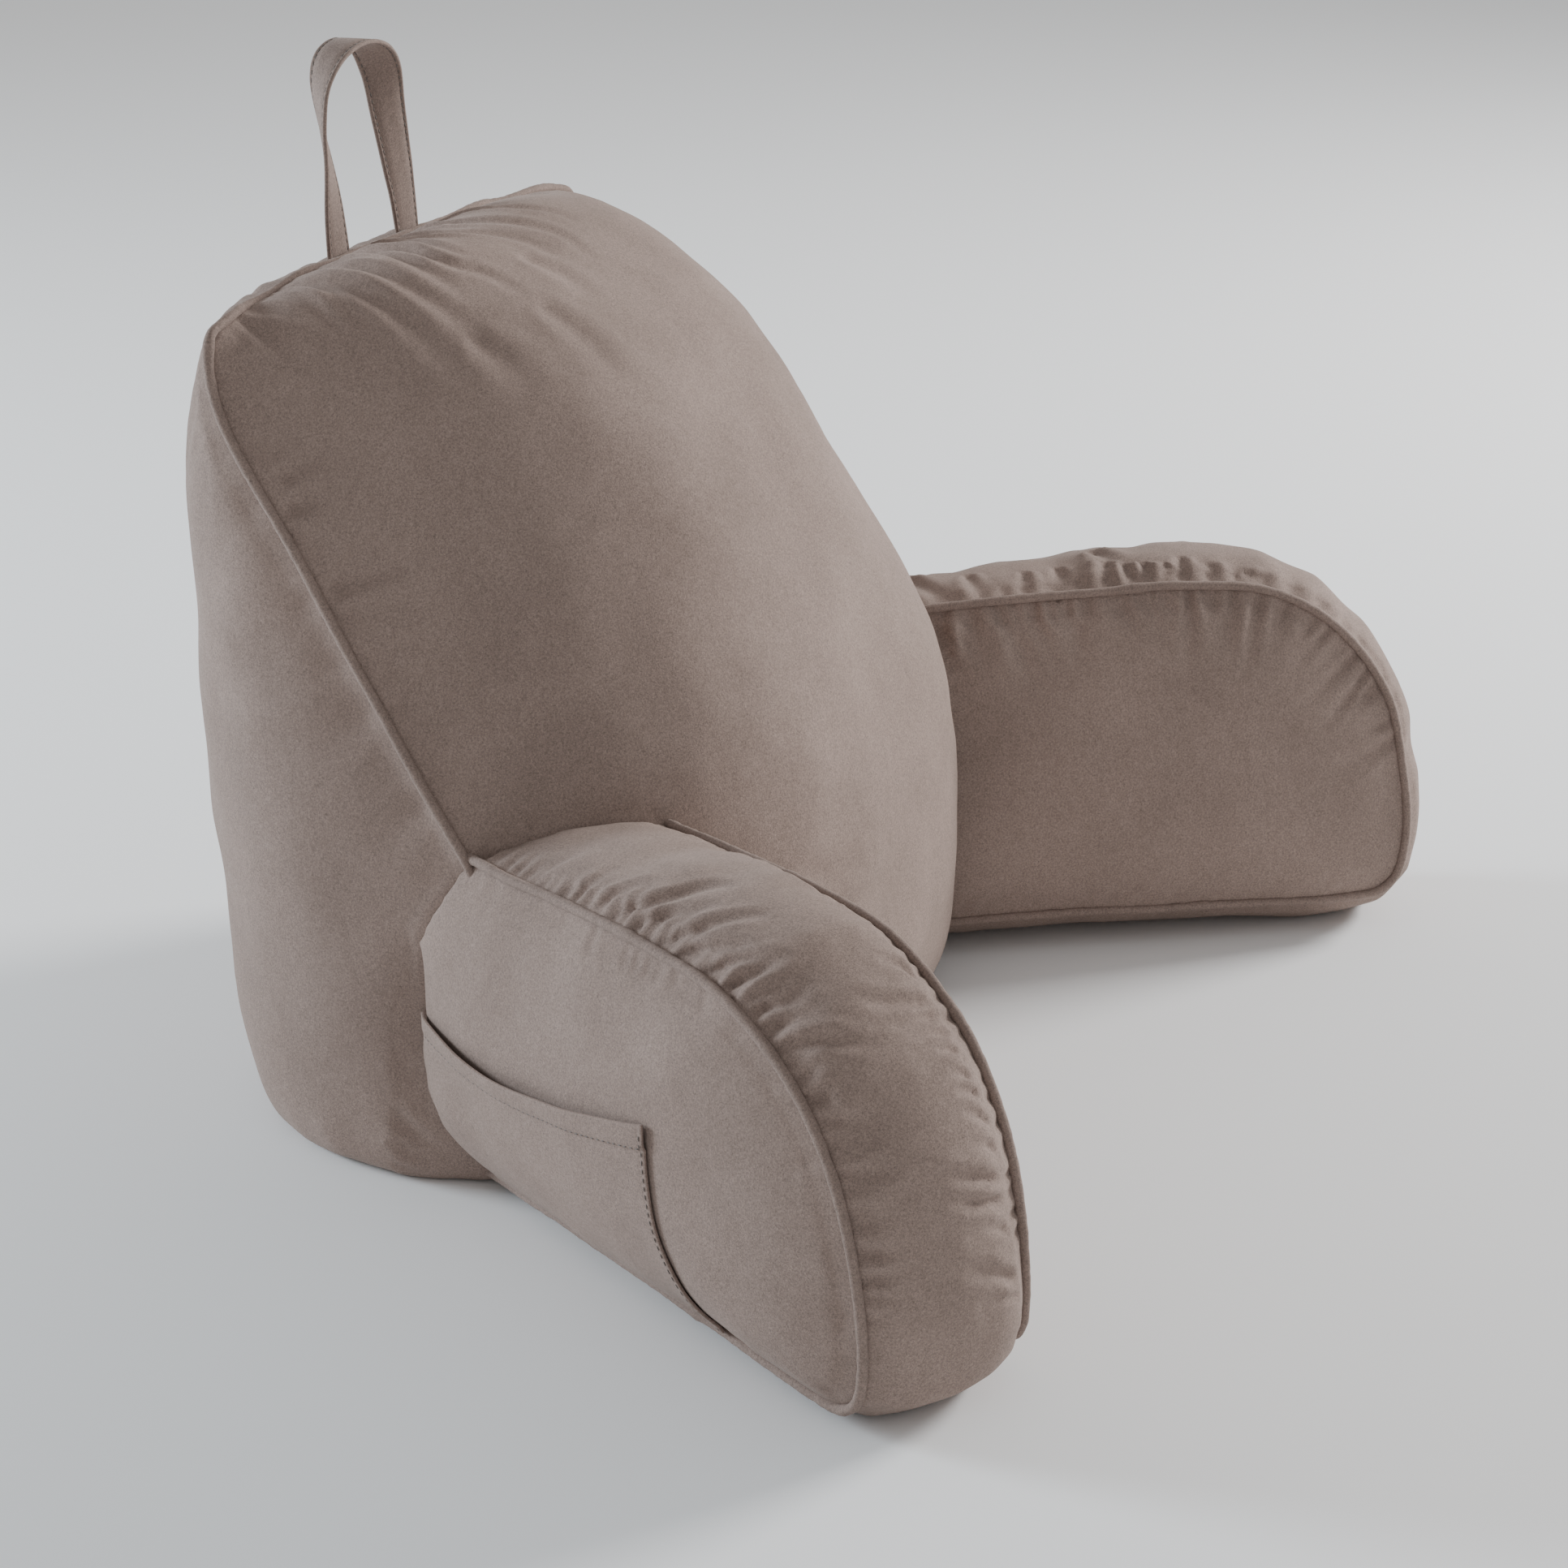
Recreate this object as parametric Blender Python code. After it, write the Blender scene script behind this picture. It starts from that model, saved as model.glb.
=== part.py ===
# Reading pillow with arms: a filled backrest, two boxed arms, piping on the seams,
# a patch pocket on one arm and a carrying strap in the top seam.
# Metres, +Z up. The sitter faces -Y, and the floor is z = 0.

import math

import bmesh
import bpy
from mathutils import Vector

# Fit between pieces
CUT_GAP = 0.0006

# Piping
CORD_RADIUS = 0.0025
CORD_SIDES = 6
LAND_INSET = CORD_RADIUS + 0.0005
LAND_HALF = 0.0026

# Backrest, one row for each level from the top seam down to the floor.
# Side seam (edge), middle of the front panel, middle of the back, and how far the side swells.
BACKREST_ROWS = (
    # edge_x, edge_y, edge_z, front_y, front_z, back_y, back_z, swell, squareness
    (0.197, 0.434, 0.425, 0.434, 0.436, 0.434, 0.436, 0.000, 2.5),
    (0.200, 0.433, 0.405, 0.386, 0.454, 0.464, 0.428, 0.002, 2.5),
    (0.205, 0.420, 0.375, 0.334, 0.441, 0.485, 0.404, 0.006, 2.5),
    (0.211, 0.390, 0.335, 0.277, 0.404, 0.499, 0.360, 0.010, 2.5),
    (0.218, 0.358, 0.290, 0.231, 0.349, 0.505, 0.305, 0.012, 2.5),
    (0.226, 0.322, 0.240, 0.192, 0.285, 0.505, 0.245, 0.011, 2.6),
    (0.235, 0.278, 0.182, 0.158, 0.214, 0.502, 0.185, 0.010, 2.9),
    (0.224, 0.254, 0.120, 0.141, 0.142, 0.494, 0.120, 0.016, 3.3),
    (0.216, 0.238, 0.060, 0.140, 0.078, 0.485, 0.060, 0.024, 3.8),
    (0.215, 0.230, 0.018, 0.150, 0.020, 0.470, 0.018, 0.028, 4.0),
    (0.212, 0.230, 0.000, 0.170, 0.000, 0.454, 0.000, 0.023, 4.0),
)
BACKREST_RINGS = 24
BACKREST_COLUMNS = 27
RING_CROWDING = 0.12
FRONT_FULLNESS = 3.15
FRONT_FACING = (0.0, -0.84, 0.54)
BACKREST_MIDDLE = (0.0, 0.40, 0.22)
TOP_SEAM_BOW = 0.004
ARM_SEAM_ROW = 6
CORD_END_ROW = 5.86

# Soft folds that run down the front panel from the top seam, deepest at FOLD_LEVEL
FOLD_LEVEL = 0.9
FOLD_FADE = 0.45
FRONT_FOLDS = (
    # across (-1 to 1), drift across, reach (rows), half_width, depth
    (-0.78, 0.10, 2.6, 0.07, 0.0030),
    (-0.52, 0.16, 3.2, 0.07, 0.0035),
    (-0.22, 0.18, 3.6, 0.07, 0.0040),
    (0.08, 0.16, 3.0, 0.07, 0.0035),
    (0.40, 0.12, 2.4, 0.07, 0.0025),
)

# Arm side panel: forward from the heel of the arm's front corner, and up
ARM_OUTLINE = (
    # forward, up
    (-0.410, 0.009),
    (-0.150, 0.010),
    (-0.040, 0.009),
    (-0.009, 0.015),
    (0.001, 0.040),
    (0.000, 0.080),
    (-0.011, 0.130),
    (-0.040, 0.170),
    (-0.084, 0.195),
    (-0.135, 0.201),
    (-0.220, 0.198),
    (-0.410, 0.188),
)
ARM_COLUMNS = 56
ARM_WIDTH = 0.093
ARM_CENTRE = (-0.190, 0.095)
BOXING_SWELL = 0.021
SOLE_SWELL = 0.017
SOLE_SHARE = 0.42
HELD_SHARE = 0.45
BOXING_STEPS = (0.10, 0.27, 0.5, 0.73, 0.90)
PANEL_STEPS = (0.05, 0.14, 0.28, 0.46, 0.68, 0.86)
OUTER_CROWN = 0.027
INNER_CROWN = 0.020
CROWN_RISE = 2.4
SIDE_ROUNDNESS = 0.62
FULL_AFTER_SOLE = 0.10
HELD_FROM = 0.74
HELD_BY = 0.88

# The two arms as they stand: side, corner out and forward of the middle, turn out, lean out, height
ARMS = (
    # name, side, corner_x, corner_y, turn_deg, lean_deg, height_scale
    ("left", -1.0, 0.3740, 0.011, 30.1, 3.6, 0.955),
    ("right", 1.0, 0.3766, -0.011, 32.9, 8.6, 1.000),
)

# Gathers drawn into the boxing by the seams, by place along the outline from the sole's back
GATHERS = (
    # place (0 to 1), half_width, depth, across (0 outer seam, 1 inner seam), reach across
    (0.46, 0.010, 0.0030, 0.15, 0.45),
    (0.51, 0.010, 0.0035, 0.85, 0.50),
    (0.56, 0.011, 0.0040, 0.10, 0.55),
    (0.60, 0.010, 0.0040, 0.90, 0.55),
    (0.64, 0.011, 0.0045, 0.20, 0.60),
    (0.68, 0.010, 0.0040, 0.80, 0.55),
    (0.73, 0.012, 0.0040, 0.15, 0.60),
    (0.78, 0.012, 0.0035, 0.85, 0.55),
    (0.84, 0.013, 0.0035, 0.20, 0.55),
)

# Patch pocket on the left arm's outer panel, in the panel's own forward and up
POCKET_THICKNESS = 0.0020
POCKET_LIFT = 0.0012
POCKET_MOUTH = 0.0050
POCKET_MOUTH_FADE = 2.5
POCKET_TOP = (
    # forward, up
    (-0.395, 0.100),
    (-0.310, 0.099),
    (-0.250, 0.097),
    (-0.185, 0.106),
    (-0.122, 0.120),
)
POCKET_FRONT_FOOT = -0.100
POCKET_FOOT_UP = 0.0165
POCKET_FRONT_BOW = 0.006
POCKET_COLUMNS = 14
POCKET_ROWS = 8

# Carrying strap, one row for each station from the left foot over the top to the right foot
STRAP_WIDTH = 0.022
STRAP_THICKNESS = 0.0024
STRAP_ROWS = (
    # x, y, z, turn of the width about the strap's own length (deg)
    (-0.056, 0.4427, 0.4376, 0.0),
    (-0.060, 0.442, 0.458, 8.0),
    (-0.067, 0.440, 0.484, 24.0),
    (-0.075, 0.438, 0.508, 38.0),
    (-0.076, 0.437, 0.527, 55.0),
    (-0.066, 0.436, 0.541, 76.0),
    (-0.048, 0.435, 0.546, 92.0),
    (-0.030, 0.435, 0.541, 112.0),
    (-0.016, 0.436, 0.527, 135.0),
    (-0.007, 0.438, 0.505, 154.0),
    (0.003, 0.440, 0.480, 166.0),
    (0.012, 0.442, 0.458, 174.0),
    (0.018, 0.4429, 0.4376, 180.0),
)
STRAP_STEPS = 36

# The part's origin is under the middle of its own box
ORIGIN_X = 0.0048
ORIGIN_Y = 0.2216


def curve_at(rows, place):
    """Point of the smooth curve through rows of numbers, place running from 0 to len(rows) - 1."""
    last = len(rows) - 1
    first = min(max(int(math.floor(place)), 0), last - 1)
    t = place - first
    before = rows[max(first - 1, 0)]
    start = rows[first]
    end = rows[first + 1]
    after = rows[min(first + 2, last)]
    point = []
    for a, b, c, d in zip(before, start, end, after):
        bend = (2.0 * a - 5.0 * b + 4.0 * c - d) * t * t
        twist = (3.0 * b - a - 3.0 * c + d) * t * t * t
        point.append(0.5 * (2.0 * b + (c - a) * t + bend + twist))
    return point


def even_curve(rows, count):
    """The smooth curve through rows, as count points at even steps along it."""
    fine = [Vector(curve_at(rows, i * (len(rows) - 1) / 400.0)) for i in range(401)]
    reach = [0.0]
    for a, b in zip(fine, fine[1:]):
        reach.append(reach[-1] + (b - a).length)
    points = []
    j = 0
    for i in range(count):
        target = reach[-1] * i / (count - 1)
        while j < 399 and reach[j + 1] < target:
            j += 1
        share = (target - reach[j]) / (reach[j + 1] - reach[j])
        points.append(fine[j].lerp(fine[j + 1], share))
    return points


def bell(distance, half_width):
    """Soft bump that is 1 at its middle."""
    return math.exp(-(distance / half_width) ** 2)


def new_material(name, colour, roughness):
    material = bpy.data.materials.new(name)
    material.use_nodes = True
    shader = material.node_tree.nodes["Principled BSDF"]
    shader.inputs["Base Color"].default_value = (*colour, 1.0)
    shader.inputs["Roughness"].default_value = roughness
    shader.inputs["Metallic"].default_value = 0.0
    return material


def new_object(name, mesh_maker, material, parent):
    """One closed solid, its faces turned outwards, under the part's own origin."""
    bm = bmesh.new()
    mesh_maker(bm)
    bmesh.ops.recalc_face_normals(bm, faces=bm.faces)
    mesh = bpy.data.meshes.new(name)
    bm.to_mesh(mesh)
    bm.free()
    mesh.shade_smooth()
    mesh.materials.append(material)
    obj = bpy.data.objects.new(name, mesh)
    obj.parent = parent
    bpy.context.collection.objects.link(obj)
    return obj


def bridge_rings(bm, rings):
    """Walls between rings of points that all have the same count."""
    for lower, upper in zip(rings, rings[1:]):
        count = len(lower)
        for i in range(count):
            j = (i + 1) % count
            bm.faces.new((lower[i], lower[j], upper[j], upper[i]))


def tube(path, radius, sides, outward):
    """Mesh maker for a round cord along a path; outward points away from the cushion at each point."""
    def make(bm):
        rings = []
        last = len(path) - 1
        for i, point in enumerate(path):
            along = (path[min(i + 1, last)] - path[max(i - 1, 0)]).normalized()
            across = along.cross(outward[i]).normalized()
            out = across.cross(along)
            ring = []
            for k in range(sides):
                angle = 2.0 * math.pi * (k + 0.5) / sides
                offset = out * math.cos(angle) + across * math.sin(angle)
                ring.append(bm.verts.new(point + offset * radius))
            rings.append(ring)
        bridge_rings(bm, rings)
        bm.faces.new(rings[0])
        bm.faces.new(rings[-1])
    return make


# Backrest

def backrest_row(level):
    return curve_at(BACKREST_ROWS, level)


def across_steps():
    """Places across the backrest, -1 to 1, closer together near the seams."""
    steps = []
    for i in range(BACKREST_COLUMNS):
        angle = math.pi * (i / (BACKREST_COLUMNS - 1) - 0.5)
        steps.append(math.sin(angle))
    return steps


def top_seam_point(across):
    row = BACKREST_ROWS[0]
    rise = 1.0 - abs(across) ** 3.0
    return Vector((across * row[0], row[1] + TOP_SEAM_BOW * rise, row[2] + (row[4] - row[2]) * rise))


def ring_levels():
    """Levels of the rings under the top seam, closer together near the seam and the floor."""
    last = len(BACKREST_ROWS) - 1
    levels = []
    for i in range(1, BACKREST_RINGS + 1):
        share = i / BACKREST_RINGS
        crowding = RING_CROWDING * math.sin(2.0 * math.pi * share) / (2.0 * math.pi)
        levels.append(last * (share - crowding))
    return levels


def seam_frame(before, point, after):
    """Outward and forward directions at a point of the backrest's seam line."""
    along = (after - before).normalized()
    forward = Vector(FRONT_FACING)
    forward = (forward - along * forward.dot(along)).normalized()
    outward = along.cross(forward).normalized()
    if outward.dot(point - Vector(BACKREST_MIDDLE)) < 0.0:
        outward = -outward
    return outward, forward


def backrest_seam():
    """Seam line from the left floor over the top to the right floor."""
    sides = [backrest_row(level) for level in ring_levels()]
    left = [Vector((-row[0], row[1], row[2])) for row in reversed(sides)]
    top = [top_seam_point(s) for s in across_steps()]
    right = [Vector((row[0], row[1], row[2])) for row in sides]
    return left, top, right


def backrest_lands():
    """Front and back edges of the narrow land that the piping lies on."""
    left, top, right = backrest_seam()
    line = left + top + right
    last = len(line) - 1
    front = []
    back = []
    for i, point in enumerate(line):
        outward, forward = seam_frame(line[max(i - 1, 0)], point, line[min(i + 1, last)])
        if i == 0 or i == last:
            forward = Vector((0.0, -1.0, 0.0))
            outward = Vector((math.copysign(1.0, point.x), 0.0, 0.0))
        seat = point - outward * LAND_INSET
        front.append(seat + forward * LAND_HALF)
        back.append(seat - forward * LAND_HALF)
    return front, back


def front_point(level, across, edge):
    """Point of the belly between the two side seams."""
    row = backrest_row(level)
    fullness = 1.0 - abs(across) ** FRONT_FULLNESS
    drawn = 0.0
    for place, drift, reach, half_width, depth in FRONT_FOLDS:
        middle = place + drift * level / reach
        strength = bell(level - FOLD_LEVEL, reach * FOLD_FADE)
        drawn += depth * strength * bell(across - middle, half_width)
    y = edge.y + (row[3] - edge.y) * fullness
    z = edge.z + (row[4] - edge.z) * fullness
    facing = Vector(FRONT_FACING) if level < ARM_SEAM_ROW else Vector((0.0, -1.0, 0.0))
    return Vector((across * abs(edge.x), y, z)) - facing * drawn * fullness


def back_point(level, across, edge):
    """Point of the side and back, which are one piece of cloth."""
    row = backrest_row(level)
    power = row[8]
    reach = (1.0 - abs(across) ** power) ** (1.0 / power)
    swell = row[7] * math.sin(math.pi * reach)
    x = across * abs(edge.x) + math.copysign(swell, across)
    y = edge.y + (row[5] - edge.y) * reach
    z = edge.z + (row[6] - edge.z) * reach
    return Vector((x, y, z))


def backrest_mesh(extra, floor):
    """Mesh maker for the backrest, larger by extra on every side and ending at floor."""
    def make(bm):
        front_edges, back_edges = backrest_lands()
        steps = across_steps()
        columns = len(steps)
        count = BACKREST_RINGS
        rows = []
        top_front = [bm.verts.new(p) for p in front_edges[count:count + columns]]
        top_back = [bm.verts.new(p) for p in back_edges[count:count + columns]]
        rows.append(top_front + top_back[::-1])
        for index, level in enumerate(ring_levels()):
            left = count - 1 - index
            right = count + columns + index
            ring = []
            for i, across in enumerate(steps):
                edge = front_edges[left] if across < 0.0 else front_edges[right]
                inner = 0 < i < columns - 1
                point = front_point(level, across, edge) if inner else edge.copy()
                ring.append(point)
            for i, across in reversed(list(enumerate(steps))):
                edge = back_edges[left] if across < 0.0 else back_edges[right]
                inner = 0 < i < columns - 1
                point = back_point(level, across, edge) if inner else edge.copy()
                ring.append(point)
            rows.append([bm.verts.new(point) for point in ring])
        for i in range(columns - 1):
            bm.faces.new((top_front[i], top_front[i + 1], top_back[i + 1], top_back[i]))
        bridge_rings(bm, rows)
        bm.faces.new(rows[-1])
        bmesh.ops.triangulate(bm, faces=bm.faces)
        bmesh.ops.recalc_face_normals(bm, faces=bm.faces)
        bm.normal_update()
        for vert in bm.verts:
            vert.co += vert.normal * extra
        for vert in rows[-1]:
            vert.co.z = floor
    return make


def backrest_cord_path():
    """Centre line of the piping from the left arm's seam over the top to the right arm's seam."""
    left, top, right = backrest_seam()
    levels = ring_levels()
    shown = [i for i, level in enumerate(levels) if level < CORD_END_ROW - 0.1]
    count = len(levels)
    foot = backrest_row(CORD_END_ROW)
    line = [Vector((-foot[0], foot[1], foot[2]))] + left[count - len(shown):] + top
    line += right[:len(shown)] + [Vector((foot[0], foot[1], foot[2]))]
    outward = []
    last = len(line) - 1
    for i, point in enumerate(line):
        outward.append(seam_frame(line[max(i - 1, 0)], point, line[min(i + 1, last)])[0])
    return line, outward


# Arms

class Arm:
    """One boxed arm as it stands, with its own forward, up and outward directions."""

    def __init__(self, side, corner_x, corner_y, turn_deg, lean_deg, height_scale):
        turn = math.radians(turn_deg)
        lean = math.radians(lean_deg)
        self.corner = Vector((side * corner_x, corner_y, 0.0))
        self.forward = Vector((side * math.sin(turn), -math.cos(turn), 0.0))
        level_out = Vector((side * math.cos(turn), math.sin(turn), 0.0))
        upright = Vector((0.0, 0.0, 1.0))
        self.up = upright * math.cos(lean) + level_out * math.sin(lean)
        self.out = level_out * math.cos(lean) - upright * math.sin(lean)
        rows = [(u, v * height_scale) for u, v in ARM_OUTLINE]
        self.outline = even_curve(rows, ARM_COLUMNS)
        self.centre = Vector((ARM_CENTRE[0], ARM_CENTRE[1] * height_scale))
        self.normals = []
        last = len(self.outline) - 1
        for i in range(len(self.outline)):
            along = self.outline[min(i + 1, last)] - self.outline[max(i - 1, 0)]
            self.normals.append(Vector((along.y, -along.x)).normalized())

    def place(self, forward, up, out):
        """World point of a place in the arm's own directions."""
        return self.corner + self.forward * forward + self.up * up + self.out * out

    def panel_crown(self, share, crown):
        """How far a side panel stands off its seam plane, share running from the seam to the centre."""
        return crown * (1.0 - (1.0 - share) ** CROWN_RISE) ** SIDE_ROUNDNESS

    def panel_share(self, forward, up):
        """Share of the way from the seam to the centre at a place on the side panel."""
        spot = Vector((forward, up)) - self.centre
        angle = math.atan2(spot.y, spot.x)
        ray = Vector((math.cos(angle), math.sin(angle)))
        best = None
        for a, b in zip(self.outline, self.outline[1:]):
            pa = a - self.centre
            pb = b - self.centre
            cross = pa.x * pb.y - pa.y * pb.x
            ca = pa.x * ray.y - pa.y * ray.x
            cb = ray.x * pb.y - ray.y * pb.x
            if cross > 0.0 and ca >= 0.0 and cb >= 0.0 and ca + cb > 0.0:
                best = cross / (ca + cb)
        edge = best if best else (self.outline[0] - self.centre).length
        return max(0.0, min(1.0, 1.0 - spot.length / edge))


def boxing_swell(place, across):
    """How far the boxing stands beyond the outline, gathers drawn in."""
    top = min(1.0, max(0.0, (place - SOLE_SHARE + FULL_AFTER_SOLE) / (2.0 * FULL_AFTER_SOLE)))
    held = min(1.0, max(0.0, (HELD_BY - place) / (HELD_BY - HELD_FROM)))
    swell = SOLE_SWELL + (BOXING_SWELL - SOLE_SWELL) * top
    swell *= HELD_SHARE + (1.0 - HELD_SHARE) * held
    swell *= (1.0 - (2.0 * across - 1.0) ** 2.0) ** SIDE_ROUNDNESS
    for spot, half_width, depth, middle, reach in GATHERS:
        swell -= depth * bell(place - spot, half_width) * bell(across - middle, reach)
    return swell


def arm_rings(arm):
    """Rings of points from the middle of the outer panel round the boxing to the inner panel."""
    count = len(arm.outline)
    half = LAND_HALF / math.sqrt(2.0)
    seat = LAND_INSET / math.sqrt(2.0)
    rings = []

    def panel_ring(share, base, crown, sign):
        ring = []
        for point, normal in zip(arm.outline, arm.normals):
            edge = point - normal * (seat + half)
            spot = arm.centre.lerp(edge, 1.0 - share)
            out = base + sign * (arm.panel_crown(share, crown) - seat + half)
            ring.append(arm.place(spot.x, spot.y, out))
        return ring

    for share in reversed(PANEL_STEPS):
        rings.append(panel_ring(share, 0.0, OUTER_CROWN, 1.0))
    rings.append(panel_ring(0.0, 0.0, OUTER_CROWN, 1.0))
    for across in (0.0,) + BOXING_STEPS + (1.0,):
        ring = []
        for i, (point, normal) in enumerate(zip(arm.outline, arm.normals)):
            if across == 0.0:
                spot = point - normal * (seat - half)
                out = -(seat + half)
            elif across == 1.0:
                spot = point - normal * (seat - half)
                out = -ARM_WIDTH + seat + half
            else:
                spot = point + normal * boxing_swell(i / (count - 1), across)
                out = -ARM_WIDTH * across
            ring.append(arm.place(spot.x, spot.y, out))
        rings.append(ring)
    rings.append(panel_ring(0.0, -ARM_WIDTH, INNER_CROWN, -1.0))
    for share in PANEL_STEPS:
        rings.append(panel_ring(share, -ARM_WIDTH, INNER_CROWN, -1.0))
    for ring in rings:
        for point in ring:
            point.z = max(point.z, 0.0)
    return rings


def arm_mesh(arm):
    """Mesh maker for one arm, its back end left long for the backrest to cut."""
    def make(bm):
        rings = [[bm.verts.new(point) for point in ring] for ring in arm_rings(arm)]
        bridge_rings(bm, rings)
        crowns = ((rings[0], OUTER_CROWN), (rings[-1], -ARM_WIDTH - INNER_CROWN))
        for ring, out in crowns:
            middle = bm.verts.new(arm.place(arm.centre.x, arm.centre.y, out))
            count = len(ring)
            for i in range(count):
                bm.faces.new((ring[i], ring[(i + 1) % count], middle))
    return make


def arm_cord_path(arm, out):
    """Centre line of the piping in one of an arm's two seams."""
    line = [arm.place(point.x, point.y, out) for point in arm.outline]
    sign = 1.0 if out == 0.0 else -1.0
    outward = []
    for normal in arm.normals:
        lift = arm.forward * normal.x + arm.up * normal.y
        outward.append((lift + arm.out * sign).normalized())
    return line, outward


# Pocket

def pocket_mesh(arm):
    """Mesh maker for the patch pocket, which lies on the panel and stands off a little at its mouth."""
    def make(bm):
        sheets = []
        for side in (0.0, POCKET_THICKNESS):
            grid = []
            for r in range(POCKET_ROWS + 1):
                down = r / POCKET_ROWS
                row = []
                for c in range(POCKET_COLUMNS + 1):
                    along = c / POCKET_COLUMNS
                    top = curve_at(POCKET_TOP, along * (len(POCKET_TOP) - 1))
                    slant = (POCKET_FRONT_FOOT - POCKET_TOP[-1][0]) * along ** 3
                    bow = POCKET_FRONT_BOW * math.sin(math.pi * down) * along ** 4
                    u = top[0] + slant * down - bow
                    v = top[1] + (POCKET_FOOT_UP - top[1]) * down
                    crown = arm.panel_crown(arm.panel_share(u, v), OUTER_CROWN)
                    gape = math.sin(math.pi * along) * (1.0 - down) ** POCKET_MOUTH_FADE
                    out = crown + POCKET_LIFT + POCKET_MOUTH * gape + side
                    row.append(bm.verts.new(arm.place(u, v, out)))
                grid.append(row)
            sheets.append(grid)
        inner, outer = sheets
        for r in range(POCKET_ROWS):
            for c in range(POCKET_COLUMNS):
                for grid in sheets:
                    bm.faces.new((grid[r][c], grid[r][c + 1], grid[r + 1][c + 1], grid[r + 1][c]))
        rim_in = border(inner)
        rim_out = border(outer)
        bridge_rings(bm, (rim_in, rim_out))
    return make


def border(grid):
    """The points round the edge of a grid, in order."""
    top = grid[0]
    right = [row[-1] for row in grid[1:-1]]
    bottom = grid[-1][::-1]
    left = [row[0] for row in grid[-2:0:-1]]
    return top + right + bottom + left


# Strap

def strap_mesh(bm):
    """Flat strap that turns half round between its two feet."""
    last = len(STRAP_ROWS) - 1
    rings = []
    for i in range(STRAP_STEPS + 1):
        place = i * last / STRAP_STEPS
        x, y, z, turn = curve_at(STRAP_ROWS, place)
        ahead = curve_at(STRAP_ROWS, min(place + 0.05, last))
        behind = curve_at(STRAP_ROWS, max(place - 0.05, 0.0))
        along = Vector([a - b for a, b in zip(ahead[:3], behind[:3])]).normalized()
        angle = math.radians(turn)
        width = Vector((math.cos(angle), math.sin(angle), 0.0))
        width = (width - along * width.dot(along)).normalized()
        thick = along.cross(width)
        ring = []
        for a, b in ((-0.5, -0.5), (0.5, -0.5), (0.5, 0.5), (-0.5, 0.5)):
            offset = width * a * STRAP_WIDTH + thick * b * STRAP_THICKNESS
            ring.append(bm.verts.new(Vector((x, y, z)) + offset))
        rings.append(ring)
    bridge_rings(bm, rings)
    bm.faces.new(rings[0])
    bm.faces.new(rings[-1])


def cut_by(obj, cutter):
    cut = obj.modifiers.new("Backrest clearance", "BOOLEAN")
    cut.operation = "DIFFERENCE"
    cut.solver = "EXACT"
    cut.object = cutter


def main():
    for obj in list(bpy.data.objects):
        bpy.data.objects.remove(obj)

    root = bpy.data.objects.new("cushion_origin", None)
    bpy.context.collection.objects.link(root)
    root.location = (-ORIGIN_X, -ORIGIN_Y, 0.0)

    cloth = new_material("Microsuede body", (0.235, 0.188, 0.165), 0.85)
    cord_cloth = new_material("Microsuede piping", (0.205, 0.163, 0.143), 0.85)
    strap_cloth = new_material("Microsuede strap", (0.190, 0.152, 0.135), 0.85)

    new_object("backrest", backrest_mesh(0.0, 0.0), cloth, root)
    cutter = new_object("backrest_clearance", backrest_mesh(CUT_GAP, -0.02), cloth, root)
    cutter.hide_render = True
    cutter.display_type = "WIRE"

    path, outward = backrest_cord_path()
    new_object("backrest_piping", tube(path, CORD_RADIUS, CORD_SIDES, outward), cord_cloth, root)

    for name, *stance in ARMS:
        arm = Arm(*stance)
        body = new_object("arm_" + name, arm_mesh(arm), cloth, root)
        cut_by(body, cutter)
        for place, out in (("outer", 0.0), ("inner", -ARM_WIDTH)):
            path, outward = arm_cord_path(arm, out)
            cord = tube(path, CORD_RADIUS, CORD_SIDES, outward)
            piping = new_object("arm_" + name + "_piping_" + place, cord, cord_cloth, root)
            cut_by(piping, cutter)
        if name == "left":
            pocket = new_object("pocket", pocket_mesh(arm), cloth, root)
            cut_by(pocket, cutter)

    new_object("strap", strap_mesh, strap_cloth, root)


main()
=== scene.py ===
import math
import random

import bmesh
import bpy
import numpy as np
from mathutils import Matrix, Vector, noise
from mathutils.bvhtree import BVHTree
from mathutils.kdtree import KDTree


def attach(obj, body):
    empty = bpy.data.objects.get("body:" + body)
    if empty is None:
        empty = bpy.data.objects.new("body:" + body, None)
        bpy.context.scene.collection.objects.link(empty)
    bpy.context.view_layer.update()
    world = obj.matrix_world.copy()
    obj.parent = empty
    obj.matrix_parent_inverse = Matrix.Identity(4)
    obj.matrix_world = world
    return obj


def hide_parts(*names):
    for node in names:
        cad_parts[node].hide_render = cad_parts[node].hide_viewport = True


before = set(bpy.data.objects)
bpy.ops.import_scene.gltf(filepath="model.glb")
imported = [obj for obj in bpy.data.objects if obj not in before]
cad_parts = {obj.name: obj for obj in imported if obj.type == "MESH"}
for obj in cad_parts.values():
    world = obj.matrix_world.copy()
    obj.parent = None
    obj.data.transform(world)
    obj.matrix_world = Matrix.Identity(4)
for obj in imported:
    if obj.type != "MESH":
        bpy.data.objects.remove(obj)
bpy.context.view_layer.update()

partOrigin = Vector((0.0048, 0.2216, 0.0))  # the seams below are measured from the middle of the seat line
up = Vector((0.0, 0.0, 1.0))


# Camera, where the photograph was taken from

camera = {
    "place": (-1.6522, -0.7258, 0.8256),
    "azimuth": -66.497,
    "lookDown": 20.486,
    "lens": 81.28,
    "sensor": 36.0,
}

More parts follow.
